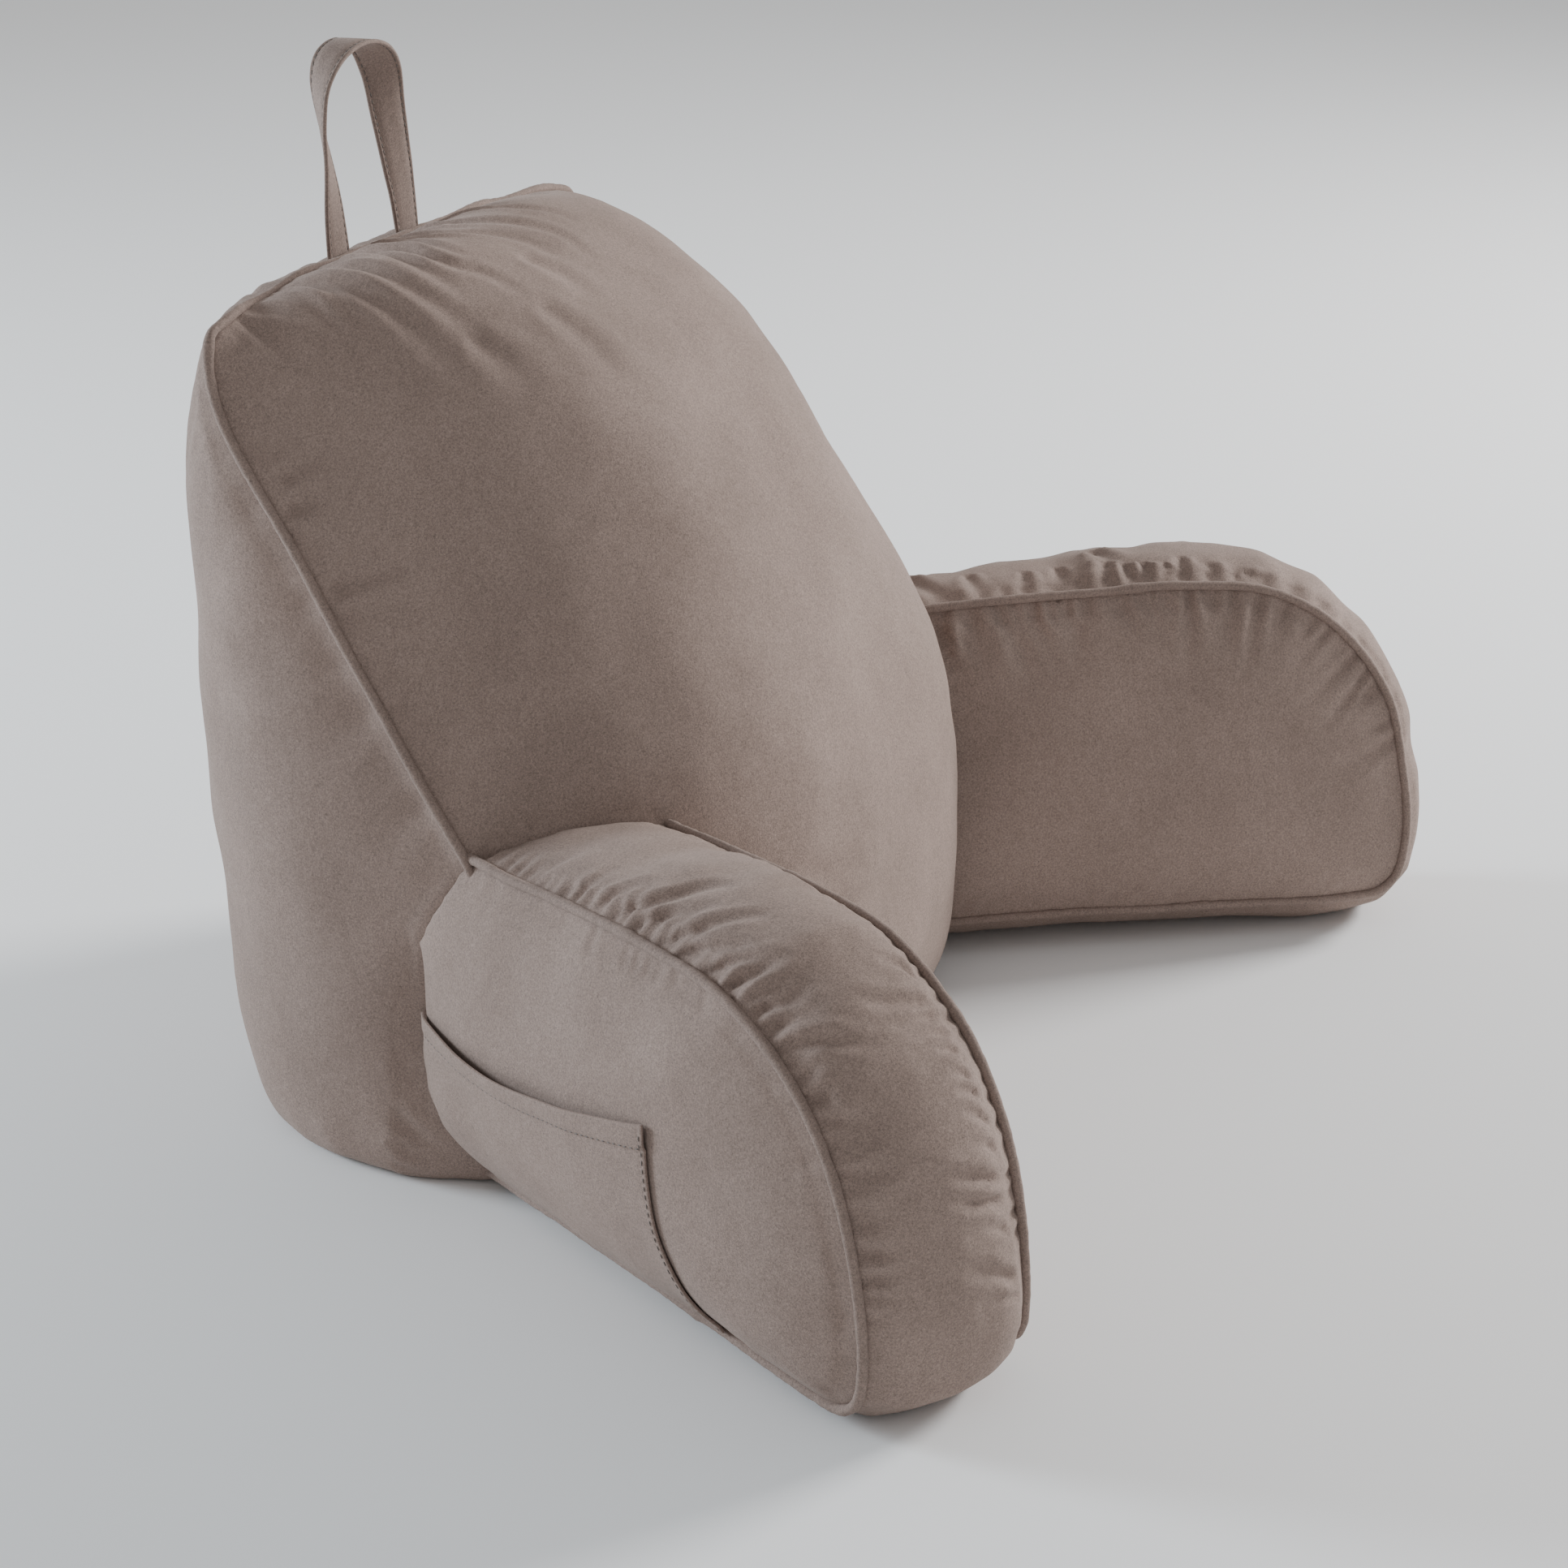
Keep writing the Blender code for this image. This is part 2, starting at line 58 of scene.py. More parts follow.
cam = bpy.data.objects.new("camera", bpy.data.cameras.new("camera"))
cam.data.lens = camera["lens"]
cam.data.sensor_width = camera["sensor"]
cam.location = camera["place"]
cam.rotation_euler = (math.radians(90.0 - camera["lookDown"]), 0.0, math.radians(camera["azimuth"]))
bpy.context.collection.objects.link(cam)
bpy.context.scene.camera = cam
print("camera set")


# Small helpers

curveSteps = 1500  # fine steps that a curve is measured in
perMetre = 1000.0  # millimetres, the unit of the tables of folds and gathers


def curveAt(rows, place):
    # smooth curve through rows of numbers
    last = len(rows) - 1
    first = min(max(int(math.floor(place)), 0), last - 1)
    t = place - first
    around = (rows[max(first - 1, 0)], rows[first], rows[first + 1], rows[min(first + 2, last)])
    return [
        0.5 * (
            2.0 * b + (c - a) * t + (2.0 * a - 5.0 * b + 4.0 * c - d) * t * t
            + (3.0 * b - a - 3.0 * c + d) * t ** 3
        )
        for a, b, c, d in zip(*around)
    ]


def evenCurve(rows, step):
    # points about one step apart along the curve
    last = len(rows) - 1
    fine = [Vector(curveAt(rows, i * last / curveSteps)) for i in range(curveSteps + 1)]
    reach = [0.0]
    for a, b in zip(fine, fine[1:]):
        reach.append(reach[-1] + (b - a).length)
    count = int(reach[-1] / step) + 1
    points, j = [], 0
    for i in range(count + 1):
        target = reach[-1] * i / count
        while j < curveSteps - 1 and reach[j + 1] < target:
            j += 1
        points.append(fine[j].lerp(fine[j + 1], (target - reach[j]) / (reach[j + 1] - reach[j])))
    return points


def newObject(name, data):
    obj = bpy.data.objects.new(name, data)
    bpy.context.collection.objects.link(obj)
    return obj


def meshObject(name, bm):
    # the work mesh as an object of its own
    mesh = bpy.data.meshes.new(name)
    bm.to_mesh(mesh)
    bm.free()
    return newObject(name, mesh)


def applyModifiers(obj):
    graph = bpy.context.evaluated_depsgraph_get()
    graph.update()
    mesh = bpy.data.meshes.new_from_object(obj.evaluated_get(graph))
    old = obj.data
    obj.modifiers.clear()
    obj.data = mesh
    if old.users == 0:
        bpy.data.meshes.remove(old)
    return obj


def tableOf(vectors):
    return np.array([tuple(vector) for vector in vectors])


def readVertices(mesh, kind):
    values = np.empty(len(mesh.vertices) * 3, dtype=np.float32)
    mesh.vertices.foreach_get(kind, values)
    return values.reshape(-1, 3).astype(np.float64)


def writePoints(mesh, co):
    mesh.vertices.foreach_set("co", co.astype(np.float32).ravel())
    mesh.update()


def nearness(distance, full, reach):
    # 1 where something is near, falling to 0 at full times reach
    return np.clip(full - distance / reach, 0.0, 1.0)


def surfaceOf(obj):
    bm = bmesh.new()
    bm.from_mesh(obj.data)
    tree = BVHTree.FromBMesh(bm)
    bm.free()
    return tree


def finishPiece(obj, material, slotName, *nodes):
    obj.data.materials.clear()
    obj.data.materials.append(material)
    obj.data.shade_smooth()
    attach(obj, "root")
    if nodes:
        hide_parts(*nodes)
    return obj


# Seam lines of the cover, the same sizes as its pieces were cut to

seams = {
    "cord": 0.0026,
    "groove": 0.0015,
    "pull": 0.0110,
    "wander": 0.0011,
    "pointEvery": 0.0025,
    "cornerRounds": 9,
    "proud": 0.0009,
    "wanderScale": 22.0,
    "endFade": 0.018,
    "cordClear": (0.004, 0.018),
}

backSeamRows = (
    # out, back, up
    (0.197, 0.434, 0.425),
    (0.200, 0.433, 0.405),
    (0.205, 0.420, 0.375),
    (0.211, 0.390, 0.335),
    (0.218, 0.358, 0.290),
    (0.226, 0.322, 0.240),
    (0.235, 0.278, 0.182),
    (0.224, 0.254, 0.120),
)
backSeamLine = {
    "ends": (6.14, 5.97),  # rows where it runs into the arms, left and right
    "topRise": (0.004, 0.011),
    "sideSteps": 200,
    "topSteps": 120,
    "middle": (0.0, 0.40, 0.22),
    "front": (0.0, -0.84, 0.54),
    "wave": (0.8, 4.4),  # waver on the sides, and what the top has more
    "topEnds": (0.195, 0.02),  # where the top's waver ends, and over what length
}

armOutline = (
    # forward, up
    (-0.410, 0.009),
    (-0.150, 0.010),
    (-0.040, 0.009),
    (-0.009, 0.015),
    (0.001, 0.040),
    (0.000, 0.080),
    (-0.011, 0.130),
    (-0.040, 0.170),
    (-0.084, 0.195),
    (-0.135, 0.201),
    (-0.220, 0.198),
    (-0.410, 0.188),
)
armWidth = 0.093
armStances = {
    # side, corner out, corner forward, turn, lean, height
    "left": (-1.0, 0.3740, 0.011, 30.1, 3.6, 0.955),
    "right": (1.0, 0.3766, -0.011, 32.9, 8.6, 1.000),
}


class SeamLine:
    # a seam with its length along it, and the direction of the panel that lies on its first side

    def __init__(self, points, sides, outward):
        self.sides = tableOf(sides)
        self.outward = tableOf(outward)
        self.points = tableOf(points) + self.outward * seams["proud"]
        steps = np.linalg.norm(np.diff(self.points, axis=0), axis=1)
        self.reach = np.concatenate(([0.0], np.cumsum(steps)))
        along = np.gradient(self.points, axis=0)
        self.along = along / np.linalg.norm(along, axis=1)[:, None]
        self.tree = KDTree(len(self.points))
        for i, point in enumerate(self.points):
            self.tree.insert(point, i)
        self.tree.balance()

    def read(self, co, within):
        # for points within reach of the seam: which, how far along, how far away, which side, and the way out
        which, nearest = [], []
        low = self.points.min(axis=0) - within
        high = self.points.max(axis=0) + within
        inside = np.nonzero(((co > low) & (co < high)).all(axis=1))[0]
        for i in inside:
            point, index, distance = self.tree.find(co[i])
            if distance < within:
                which.append(i)
                nearest.append(index)
        which = np.array(which, dtype=int)
        nearest = np.array(nearest, dtype=int)
        offset = co[which] - self.points[nearest]
        forward = (offset * self.along[nearest]).sum(axis=1)
        away = offset - self.along[nearest] * forward[:, None]
        distance = np.linalg.norm(offset, axis=1)
        side = (away * self.sides[nearest]).sum(axis=1)
        return which, self.reach[nearest] + forward, distance, side, away


def armPlace(name):
    side, cornerOut, cornerForward, turnDeg, leanDeg, height = armStances[name]
    turn, lean = math.radians(turnDeg), math.radians(leanDeg)
    corner = Vector((side * cornerOut, cornerForward, 0.0)) - partOrigin
    ahead = Vector((side * math.sin(turn), -math.cos(turn), 0.0))
    level = Vector((side * math.cos(turn), math.sin(turn), 0.0))
    rise = up * math.cos(lean) + level * math.sin(lean)
    out = level * math.cos(lean) - up * math.sin(lean)
    return corner, ahead, rise, out, height


def wander(point, seed):
    # the small waver of a hand-guided seam
    spot = Vector(point) * seams["wanderScale"] + Vector((seed, seed * 0.7, 0.0))
    return seams["wander"] * noise.noise(spot)


def armSeam(name, depthIn, seed):
    corner, ahead, rise, out, height = armPlace(name)
    outline = evenCurve([(u, v * height) for u, v in armOutline], seams["pointEvery"])
    facing = 1.0 if depthIn == 0.0 else -1.0
    points, sides, outward = [], [], []
    last = len(outline) - 1
    for i, spot in enumerate(outline):
        along = outline[min(i + 1, last)] - outline[max(i - 1, 0)]
        away = Vector((along.y, -along.x)).normalized()
        lift = ahead * away.x + rise * away.y
        point = corner + ahead * spot.x + rise * spot.y - out * depthIn
        points.append(point + lift * wander(point, seed) + out * 0.6 * wander(point, seed + 5.0))
        sides.append((out * facing - lift).normalized())
        outward.append((out * facing + lift).normalized())
    return SeamLine(points, sides, outward)


def backrestSeam():
    sideSteps, topSteps = backSeamLine["sideSteps"], backSeamLine["topSteps"]
    left, right = (
        [curveAt(backSeamRows, end * i / sideSteps) for i in range(sideSteps + 1)]
        for end in backSeamLine["ends"]
    )
    corner = Vector(right[0])
    backRise, upRise = backSeamLine["topRise"]
    top = []
    for i in range(1, topSteps):
        across = -math.cos(math.pi * i / topSteps)
        rise = 1.0 - abs(across) ** 3.0
        top.append(Vector((across * corner.x, corner.y + backRise * rise, corner.z + upRise * rise)))
    line = [Vector((-x, y, z)) for x, y, z in reversed(left)] + top + [Vector(p) for p in right]
    even, carried = [line[0]], 0.0
    for a, b in zip(line, line[1:]):
        length = (b - a).length
        while carried + length >= seams["pointEvery"]:
            share = (seams["pointEvery"] - carried) / length
            a = a.lerp(b, share)
            even.append(a)
            length = (b - a).length
            carried = 0.0
        carried += length
    for number in range(seams["cornerRounds"]):
        even = [even[0]] + [(a + b * 2.0 + c) / 4.0 for a, b, c in zip(even, even[1:], even[2:])] + [even[-1]]
    points, sides, outward = [], [], []
    last = len(even) - 1
    middle = Vector(backSeamLine["middle"])
    sideWave, topWave = backSeamLine["wave"]
    topEnd, topFade = backSeamLine["topEnds"]
    for i, point in enumerate(even):
        along = (even[min(i + 3, last)] - even[max(i - 3, 0)]).normalized()
        front = Vector(backSeamLine["front"])
        front = (front - along * front.dot(along)).normalized()
        away = along.cross(front).normalized()
        if away.dot(point - middle) < 0.0:
            away = -away
        wave = sideWave + topWave * max(0.0, min(1.0, (topEnd - abs(point.x)) / topFade))
        point = point - partOrigin
        points.append(point + away * wave * wander(point, 3.0) + front * wave * wander(point, 9.0))
        sides.append(front)
        outward.append(away)
    return SeamLine(points, sides, outward)


backSeam = backrestSeam()
armSeams = {
    "left": {"outer": armSeam("left", 0.0, 1.0), "inner": armSeam("left", armWidth, 2.0)},
    "right": {"outer": armSeam("right", 0.0, 3.0), "inner": armSeam("right", armWidth, 4.0)},
}
print("seam lines laid out")


# Cloth: brushed warm grey-brown pile

cloth = {
    "light": (0.322, 0.242, 0.207),
    "dark": (0.248, 0.185, 0.157),
    "cordTint": 0.90,
    "strapTint": 0.84,
    "sheen": 0.10,
    "sheenTint": (0.90, 0.82, 0.76, 1.0),
    "sheenRoughness": 0.45,
    "roughness": (0.90, 0.78),
    "shine": 0.2,
    "napPatch": 9.0,
    "napStreak": 210.0,
    "streakShare": 0.30,
    "streakTurn": (0.25, 0.35, 0.0),
    "streakStretch": (1.0, 1.0, 0.7),
    "grain": 2100.0,
    "tuft": 0.42,
    "tuftShare": 0.35,
    "fleck": (0.55, 1.45),
    "bodyPile": 0.00045,
    "trimPile": 0.0003,
}
thread = {
    "dark": (0.098, 0.084, 0.074, 1.0),
    "light": (0.150, 0.132, 0.118, 1.0),
    "twist": 1200.0,
    "roughness": 0.6,
}


def feed(tree, node, inputs):
    # each input takes a value, or is joined to another node's socket
    for key, value in inputs.items():
        if isinstance(value, bpy.types.NodeSocket):
            tree.links.new(value, node.inputs[key])
        else:
            node.inputs[key].default_value = value
    return node


def addNode(tree, kind, inputs, **settings):
    node = tree.nodes.new("ShaderNode" + kind)
    for key, value in settings.items():
        setattr(node, key, value)
    return feed(tree, node, inputs)


def newGroup(name, scales, results):
    # a group of nodes with its sockets, and the nodes where its values enter and leave
    group = bpy.data.node_groups.new(name, "ShaderNodeTree")
    group.interface.new_socket(name="Vector", in_out="INPUT", socket_type="NodeSocketVector")
    for key, value in scales.items():
        socket = group.interface.new_socket(name=key, in_out="INPUT", socket_type="NodeSocketFloat")
        socket.default_value = value
    for key in results:
        group.interface.new_socket(name=key, in_out="OUTPUT", socket_type="NodeSocketFloat")
    return group, group.nodes.new("NodeGroupInput").outputs, group.nodes.new("NodeGroupOutput")


def newMaterial(name):
    material = bpy.data.materials.new(name)
    material.use_nodes = True
    return material, material.node_tree, material.node_tree.nodes["Principled BSDF"]


napScales = {"Patch Scale": cloth["napPatch"], "Streak Scale": cloth["napStreak"]}
grainScales = {"Scale": cloth["grain"]}


def buildNapGroup():
    # soft light and dark patches where the pile is brushed either way, with short streaks in them
    group, enter, leave = newGroup("brushed nap", napScales, ["Shade"])
    patch = addNode(group, "TexNoise", {
        "Vector": enter["Vector"], "Scale": enter["Patch Scale"],
        "Detail": 4.0, "Roughness": 0.55, "Distortion": 0.4,
    })
    lengthen = addNode(group, "Mapping", {
        "Vector": enter["Vector"], "Scale": cloth["streakStretch"], "Rotation": cloth["streakTurn"],
    })
    streak = addNode(group, "TexNoise", {
        "Vector": lengthen.outputs["Vector"], "Scale": enter["Streak Scale"], "Detail": 3.0, "Roughness": 0.6,
    })
    blend = addNode(group, "Mix", {
        "Factor": cloth["streakShare"], "A": patch.outputs["Fac"], "B": streak.outputs["Fac"],
    }, data_type="FLOAT")
    spread = addNode(group, "MapRange", {
        "Value": blend.outputs["Result"], "From Min": 0.34, "From Max": 0.66,
    })
    feed(group, leave, {"Shade": spread.outputs["Result"]})
    return group


def buildGrainGroup():
    # the fine pile itself: a fleck of colour and a height
    group, enter, leave = newGroup("suede grain", grainScales, ["Fleck", "Height"])
    fine = addNode(group, "TexNoise", {
        "Vector": enter["Vector"], "Scale": enter["Scale"], "Detail": 2.0, "Roughness": 0.7,
    })
    coarser = addNode(group, "Math", {0: enter["Scale"], 1: cloth["tuft"]}, operation="MULTIPLY")
    tuft = addNode(group, "TexNoise", {"Vector": enter["Vector"], "Scale": coarser.outputs[0], "Detail": 1.0})
    blend = addNode(group, "Mix", {
        "Factor": cloth["tuftShare"], "A": fine.outputs["Fac"], "B": tuft.outputs["Fac"],
    }, data_type="FLOAT")
    spread = addNode(group, "MapRange", {"Value": blend.outputs["Result"], "From Min": 0.3, "From Max": 0.7})
    feed(group, leave, {"Fleck": spread.outputs["Result"], "Height": blend.outputs["Result"]})
    return group


napGroup = buildNapGroup()
grainGroup = buildGrainGroup()


def clothMaterial(name, tint, pile):
    material, tree, shader = newMaterial(name)
    where = addNode(tree, "TexCoord", {}).outputs["Object"]
    nap = addNode(tree, "Group", {"Vector": where, **napScales}, node_tree=napGroup)
    grain = addNode(tree, "Group", {"Vector": where, **grainScales}, node_tree=grainGroup)
    shade = addNode(tree, "Mix", {
        "Factor": nap.outputs["Shade"],
        "A": (*[part * tint for part in cloth["dark"]], 1.0),
        "B": (*[part * tint for part in cloth["light"]], 1.0),
    }, data_type="RGBA")
    fleck = addNode(tree, "MapRange", {
        "Value": grain.outputs["Fleck"], "To Min": cloth["fleck"][0], "To Max": cloth["fleck"][1],
    })
    flecked = addNode(tree, "VectorMath", {
        0: shade.outputs["Result"], "Scale": fleck.outputs["Result"],
    }, operation="SCALE")
    rough = addNode(tree, "MapRange", {
        "Value": nap.outputs["Shade"], "To Min": cloth["roughness"][0], "To Max": cloth["roughness"][1],
    })
    relief = addNode(tree, "Bump", {"Strength": 0.55, "Distance": pile, "Height": grain.outputs["Height"]})
    feed(tree, shader, {
        "Base Color": flecked.outputs["Vector"],
        "Roughness": rough.outputs["Result"],
        "Normal": relief.outputs["Normal"],
        "Metallic": 0.0,
        "Sheen Weight": cloth["sheen"],
        "Sheen Roughness": cloth["sheenRoughness"],
        "Sheen Tint": cloth["sheenTint"],
        "Specular IOR Level": cloth["shine"],
    })
    return material


def sewingThread():
    material, tree, shader = newMaterial("sewing thread")
    where = addNode(tree, "TexCoord", {}).outputs["Object"]
    twist = addNode(tree, "TexNoise", {"Vector": where, "Scale": thread["twist"]})
    colour = addNode(tree, "Mix", {
        "Factor": twist.outputs["Fac"], "A": thread["dark"], "B": thread["light"],
    }, data_type="RGBA")
    feed(tree, shader, {"Base Color": colour.outputs["Result"], "Roughness": thread["roughness"]})
    return material


bodyCloth = clothMaterial("brushed cover cloth", 1.0, cloth["bodyPile"])
cordCloth = clothMaterial("piping cloth", cloth["cordTint"], cloth["trimPile"])
strapCloth = clothMaterial("strap cloth", cloth["strapTint"], cloth["trimPile"])
threadMaterial = sewingThread()
print("cloth materials made")


# Filled bodies: the cut shape puffed out between its seams, then the seams drawn in and the gathers laid

filling = {
    # a held value has how full it starts, and the length that it falls over
    "slack": 0.0004,
    "pressure": 6.0,
    "cap": 0.0085,
    "frames": 20,
    "lump": 0.0028,
    "lumpSize": 0.080,
    "gatherDepth": 1.5,
    "creaseDepth": 1.2,
    "creaseEvery": 0.003,
    "ridge": 0.36,
    "leastFold": 0.0021,
    "gatherStart": (0.0015, 0.0055),
    "seamWithin": 0.030,
    "joinWithin": 0.020,
    "heldSeam": (1.25, 0.018),
    "heldJoin": (1.4, 0.012),
    "heldBase": (1.5, 0.010),
    "tuckWithin": 0.014,
    "tuckFade": (0.006, 0.007),
}
coverCloth = {
    "quality": 4,
    "mass": 0.25,
    "tension_stiffness": 12.0,
    "compression_stiffness": 12.0,
    "shear_stiffness": 4.0,
    "bending_stiffness": 0.4,
    "use_pressure": True,
    "uniform_pressure_force": filling["pressure"],
    "vertex_group_mass": "held",
    "pin_stiffness": 1.0,
}


def softCopy(node, voxel):
    # the CAD body with even faces and soft edges
    bm = bmesh.new()
    bm.from_mesh(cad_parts[node].data)
    bmesh.ops.remove_doubles(bm, verts=bm.verts, dist=0.00002)
    bmesh.ops.recalc_face_normals(bm, faces=bm.faces)
    obj = meshObject(node + "_cover", bm)
    remesh = obj.modifiers.new("even", "REMESH")
    remesh.mode = "VOXEL"
    remesh.voxel_size = voxel
    remesh.use_smooth_shade = True
    smooth = obj.modifiers.new("smooth", "SMOOTH")
    smooth.factor = 0.5
    smooth.iterations = 6
    return applyModifiers(obj)


def nearOthers(co, others, within):
    # distance and direction to the neighbouring pieces
    distance = np.full(len(co), within)
    toward = np.zeros_like(co)
    for tree in others:
        for i, point in enumerate(co):
            spot, normal, index, away = tree.find_nearest(Vector(point), within)
            if spot is not None and away < distance[i]:
                distance[i] = away
                toward[i] = np.array(spot) - point
    length = np.linalg.norm(toward, axis=1)
    toward[length > 1e-9] /= length[length > 1e-9][:, None]
    return distance, toward


def puffUp(obj, seamLines, others):
    # pressure swells the cover between its seams, its joins and its base, which are held
    co = readVertices(obj.data, "co")
    normals = readVertices(obj.data, "normal")
    held = np.zeros(len(co))
    for seam in seamLines:
        which, along, distance, side, away = seam.read(co, filling["seamWithin"])
        held[which] = np.maximum(held[which], nearness(distance, *filling["heldSeam"]))
    distance, toward = nearOthers(co, others, filling["joinWithin"])
    held = np.maximum(held, nearness(distance, *filling["heldJoin"]))
    held = np.maximum(held, nearness(co[:, 2], *filling["heldBase"]))
    start = co - normals * (filling["slack"] * (1.0 - held))[:, None]
    writePoints(obj.data, start)
    group = obj.vertex_groups.new(name="held")
    for i, weight in enumerate(held):
        if weight > 0.0:
            group.add([i], float(weight), "REPLACE")
    sim = obj.modifiers.new("puff", "CLOTH")
    for key, value in coverCloth.items():
        setattr(sim.settings, key, value)
    sim.settings.effector_weights.gravity = 0.0
    sim.collision_settings.use_collision = False
    sim.collision_settings.use_self_collision = False
    sim.point_cache.frame_start = 1
    sim.point_cache.frame_end = filling["frames"]
    scene = bpy.context.scene
    for number in range(1, filling["frames"] + 1):
        scene.frame_set(number)
    applyModifiers(obj)
    move = readVertices(obj.data, "co") - start
    length = np.linalg.norm(move, axis=1)
    share = np.minimum(1.0, filling["cap"] / np.maximum(length, 1e-9)) * (1.0 - held)
    writePoints(obj.data, start + move * share[:, None])
    scene.frame_set(1)
    obj.vertex_groups.clear()


def subdivideOnce(obj):
    finer = obj.modifiers.new("finer", "SUBSURF")
    finer.levels = 1
    finer.render_levels = 1
    applyModifiers(obj)


def drawIntoNeighbour(co, normals, distance, toward, reach, depth, seamLines):
    # the cover rounds into the seam where two filled pieces meet, but stays up at its own cords
    slide = normals - toward * (normals * toward).sum(axis=1)[:, None]
    fade = nearness(distance, 1.0, reach) ** 2
    clear, rise = seams["cordClear"]
    for seam in seamLines:
        which, along, away, side, offset = seam.read(co, clear + rise)
        fade[which] *= np.clip((away - clear) / rise, 0.0, 1.0)
    return co - slide * (depth * fade)[:, None]


def fitToSeam(co, seam, groove):
    # the cover comes up to the cord and no nearer
    pull = seams["pull"]
    which, along, distance, side, away = seam.read(co, pull)
    length = np.maximum(np.linalg.norm(away, axis=1), 1e-6)
    beyond = np.maximum(length - groove, 0.0)
    wanted = groove + beyond ** 3 / (pull - groove) ** 2
    ends = np.clip(np.minimum(along, seam.reach[-1] - along) / seams["endFade"], 0.0, 1.0)
    co[which] += away / length[:, None] * ((wanted - length) * ends)[:, None]
    return co


def foldShape(x):
    # across a fold: a narrow valley between two rounded ridges
    return np.exp(-1.5 * x * x) - filling["ridge"] * np.exp(-((np.abs(x) - 1.7) / 0.75) ** 2)


def gatherTable(seed, start, end, *spans):
    # irregular gathers along a seam, each drawn between the least and the most of every span
    rng = random.Random(seed)
    spacing, *sizes = [[value / perMetre for value in span] for span in spans[:-1]]
    lean = spans[-1]
    rows = []
    spot = start + rng.uniform(*spacing)
    while spot < end:
        rows.append([spot] + [rng.uniform(*span) for span in (*sizes, lean)])
        spot += rng.uniform(*spacing)
    return rows


def gatherDepths(along, distance, rows):
    total = np.zeros(len(along))
    first, rising = filling["gatherStart"]
    for spot, halfWidth, reach, depth, lean in rows:
        width = np.maximum(halfWidth * (0.65 + 1.1 * distance / reach), filling["leastFold"])
        rise = np.clip((distance - first) / rising, 0.0, 1.0)
        fade = nearness(distance, 1.0, reach) ** 1.2
        total += depth * foldShape((along - spot - lean * distance) / width) * rise * fade
    return total * filling["gatherDepth"]


def layGathers(co, normals, seam, sideSign, rows):
    reach = max(row[2] for row in rows)
    which, along, distance, side, away = seam.read(co, reach)
    mine = side * sideSign > 0.0
    which, along, distance = which[mine], along[mine], distance[mine]
    co[which] -= normals[which] * gatherDepths(along, distance, rows)[:, None]
    return co


def creaseDepths(co, points, halfWidth, depth):
    # a soft trough along a given line, that starts fast and dies away slowly
    line = evenCurve([[value / perMetre for value in point] for point in points], filling["creaseEvery"])
    line = tableOf(line) - np.array(partOrigin)
    low, high = line.min(axis=0) - 4.0 * halfWidth, line.max(axis=0) + 4.0 * halfWidth
    inside = np.nonzero(((co > low) & (co < high)).all(axis=1))[0]
    total = np.zeros(len(co))
    if not len(inside):
        return total
    gap = np.linalg.norm(co[inside][:, None, :] - line[None, :, :], axis=2)
    share = gap.argmin(axis=1) / (len(line) - 1)
    taper = np.clip(share / 0.16, 0.0, 1.0) * (1.0 - share) ** 0.75
    x = gap.min(axis=1) / (halfWidth * (0.45 + 0.55 * np.sqrt(share)))
    total[inside] = taper * depth * foldShape(x)
    return total * filling["creaseDepth"]


def layLumps(co, normals, seed, depth, size):
    # loose filling shows as low uneven lumps
    lumps = np.array([
        noise.noise(Vector(p) / size + Vector((seed, 0.0, 0.0)))
        + 0.45 * noise.noise(Vector(p) / (size * 0.45) + Vector((0.0, seed, 0.0)))
        for p in co
    ])
    return co + normals * (lumps * depth)[:, None]


def tuckInto(co, normals, tree, depth):
    # the end that faces the neighbouring piece runs on into it, so no daylight shows in the join
    begin, length = filling["tuckFade"]
    for i, point in enumerate(co):
        spot, way, index, away = tree.find_nearest(Vector(point), filling["tuckWithin"])
        if spot is None:
            continue
        outside = (point - np.array(spot)).dot(np.array(way))
        facing = -normals[i].dot(np.array(way))
        if outside > -depth and facing > 0.0:
            share = min(1.0, facing * 1.6) * min(1.0, max(0.0, 1.0 - (outside - begin) / length))
            co[i] -= np.array(way) * (outside + depth) * share
    return co


cadSurfaces = {name: surfaceOf(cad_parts[name]) for name in ("backrest", "arm_left", "arm_right")}


def makeCover(node, values, lumpSeed, neighbours, lines, gathers, creases):
    # a filled piece: cut, puffed up, drawn in at its joins and seams, gathered and folded
    cover = softCopy(node, values["voxel"])
    print("cover cut:", node, len(cover.data.polygons), "faces")
    others = [cadSurfaces[name] for name in neighbours]
    puffUp(cover, lines.values(), others)
    print("cover puffed up:", node)
    subdivideOnce(cover)
    co, normals = readVertices(cover.data, "co"), readVertices(cover.data, "normal")
    reach, share = values["joinReach"], values["lumpShare"]
    distance, toward = nearOthers(co, others, reach)
    co = layLumps(co, normals, lumpSeed, filling["lump"] * share, filling["lumpSize"] * share)
    co = drawIntoNeighbour(co, normals, distance, toward, reach, values["joinDepth"], lines.values())
    if values["tuck"] > 0.0:
        co = tuckInto(co, normals, others[0], values["tuck"])
    for seamName, sign, *row in gathers:
        co = layGathers(co, normals, lines[seamName], sign, gatherTable(*row))
    for halfWidth, depth, *points in creases:
        co -= normals * creaseDepths(co, points, halfWidth / perMetre, depth / perMetre)[:, None]
    for line in lines.values():
        co = fitToSeam(co, line, seams["groove"])
    co[:, 2] = np.maximum(co[:, 2], 0.0)
    writePoints(cover.data, co)
    finishPiece(cover, bodyCloth, "cloth", node)
    print("cover finished:", node, len(cover.data.polygons), "faces")
    return cover


# Backrest

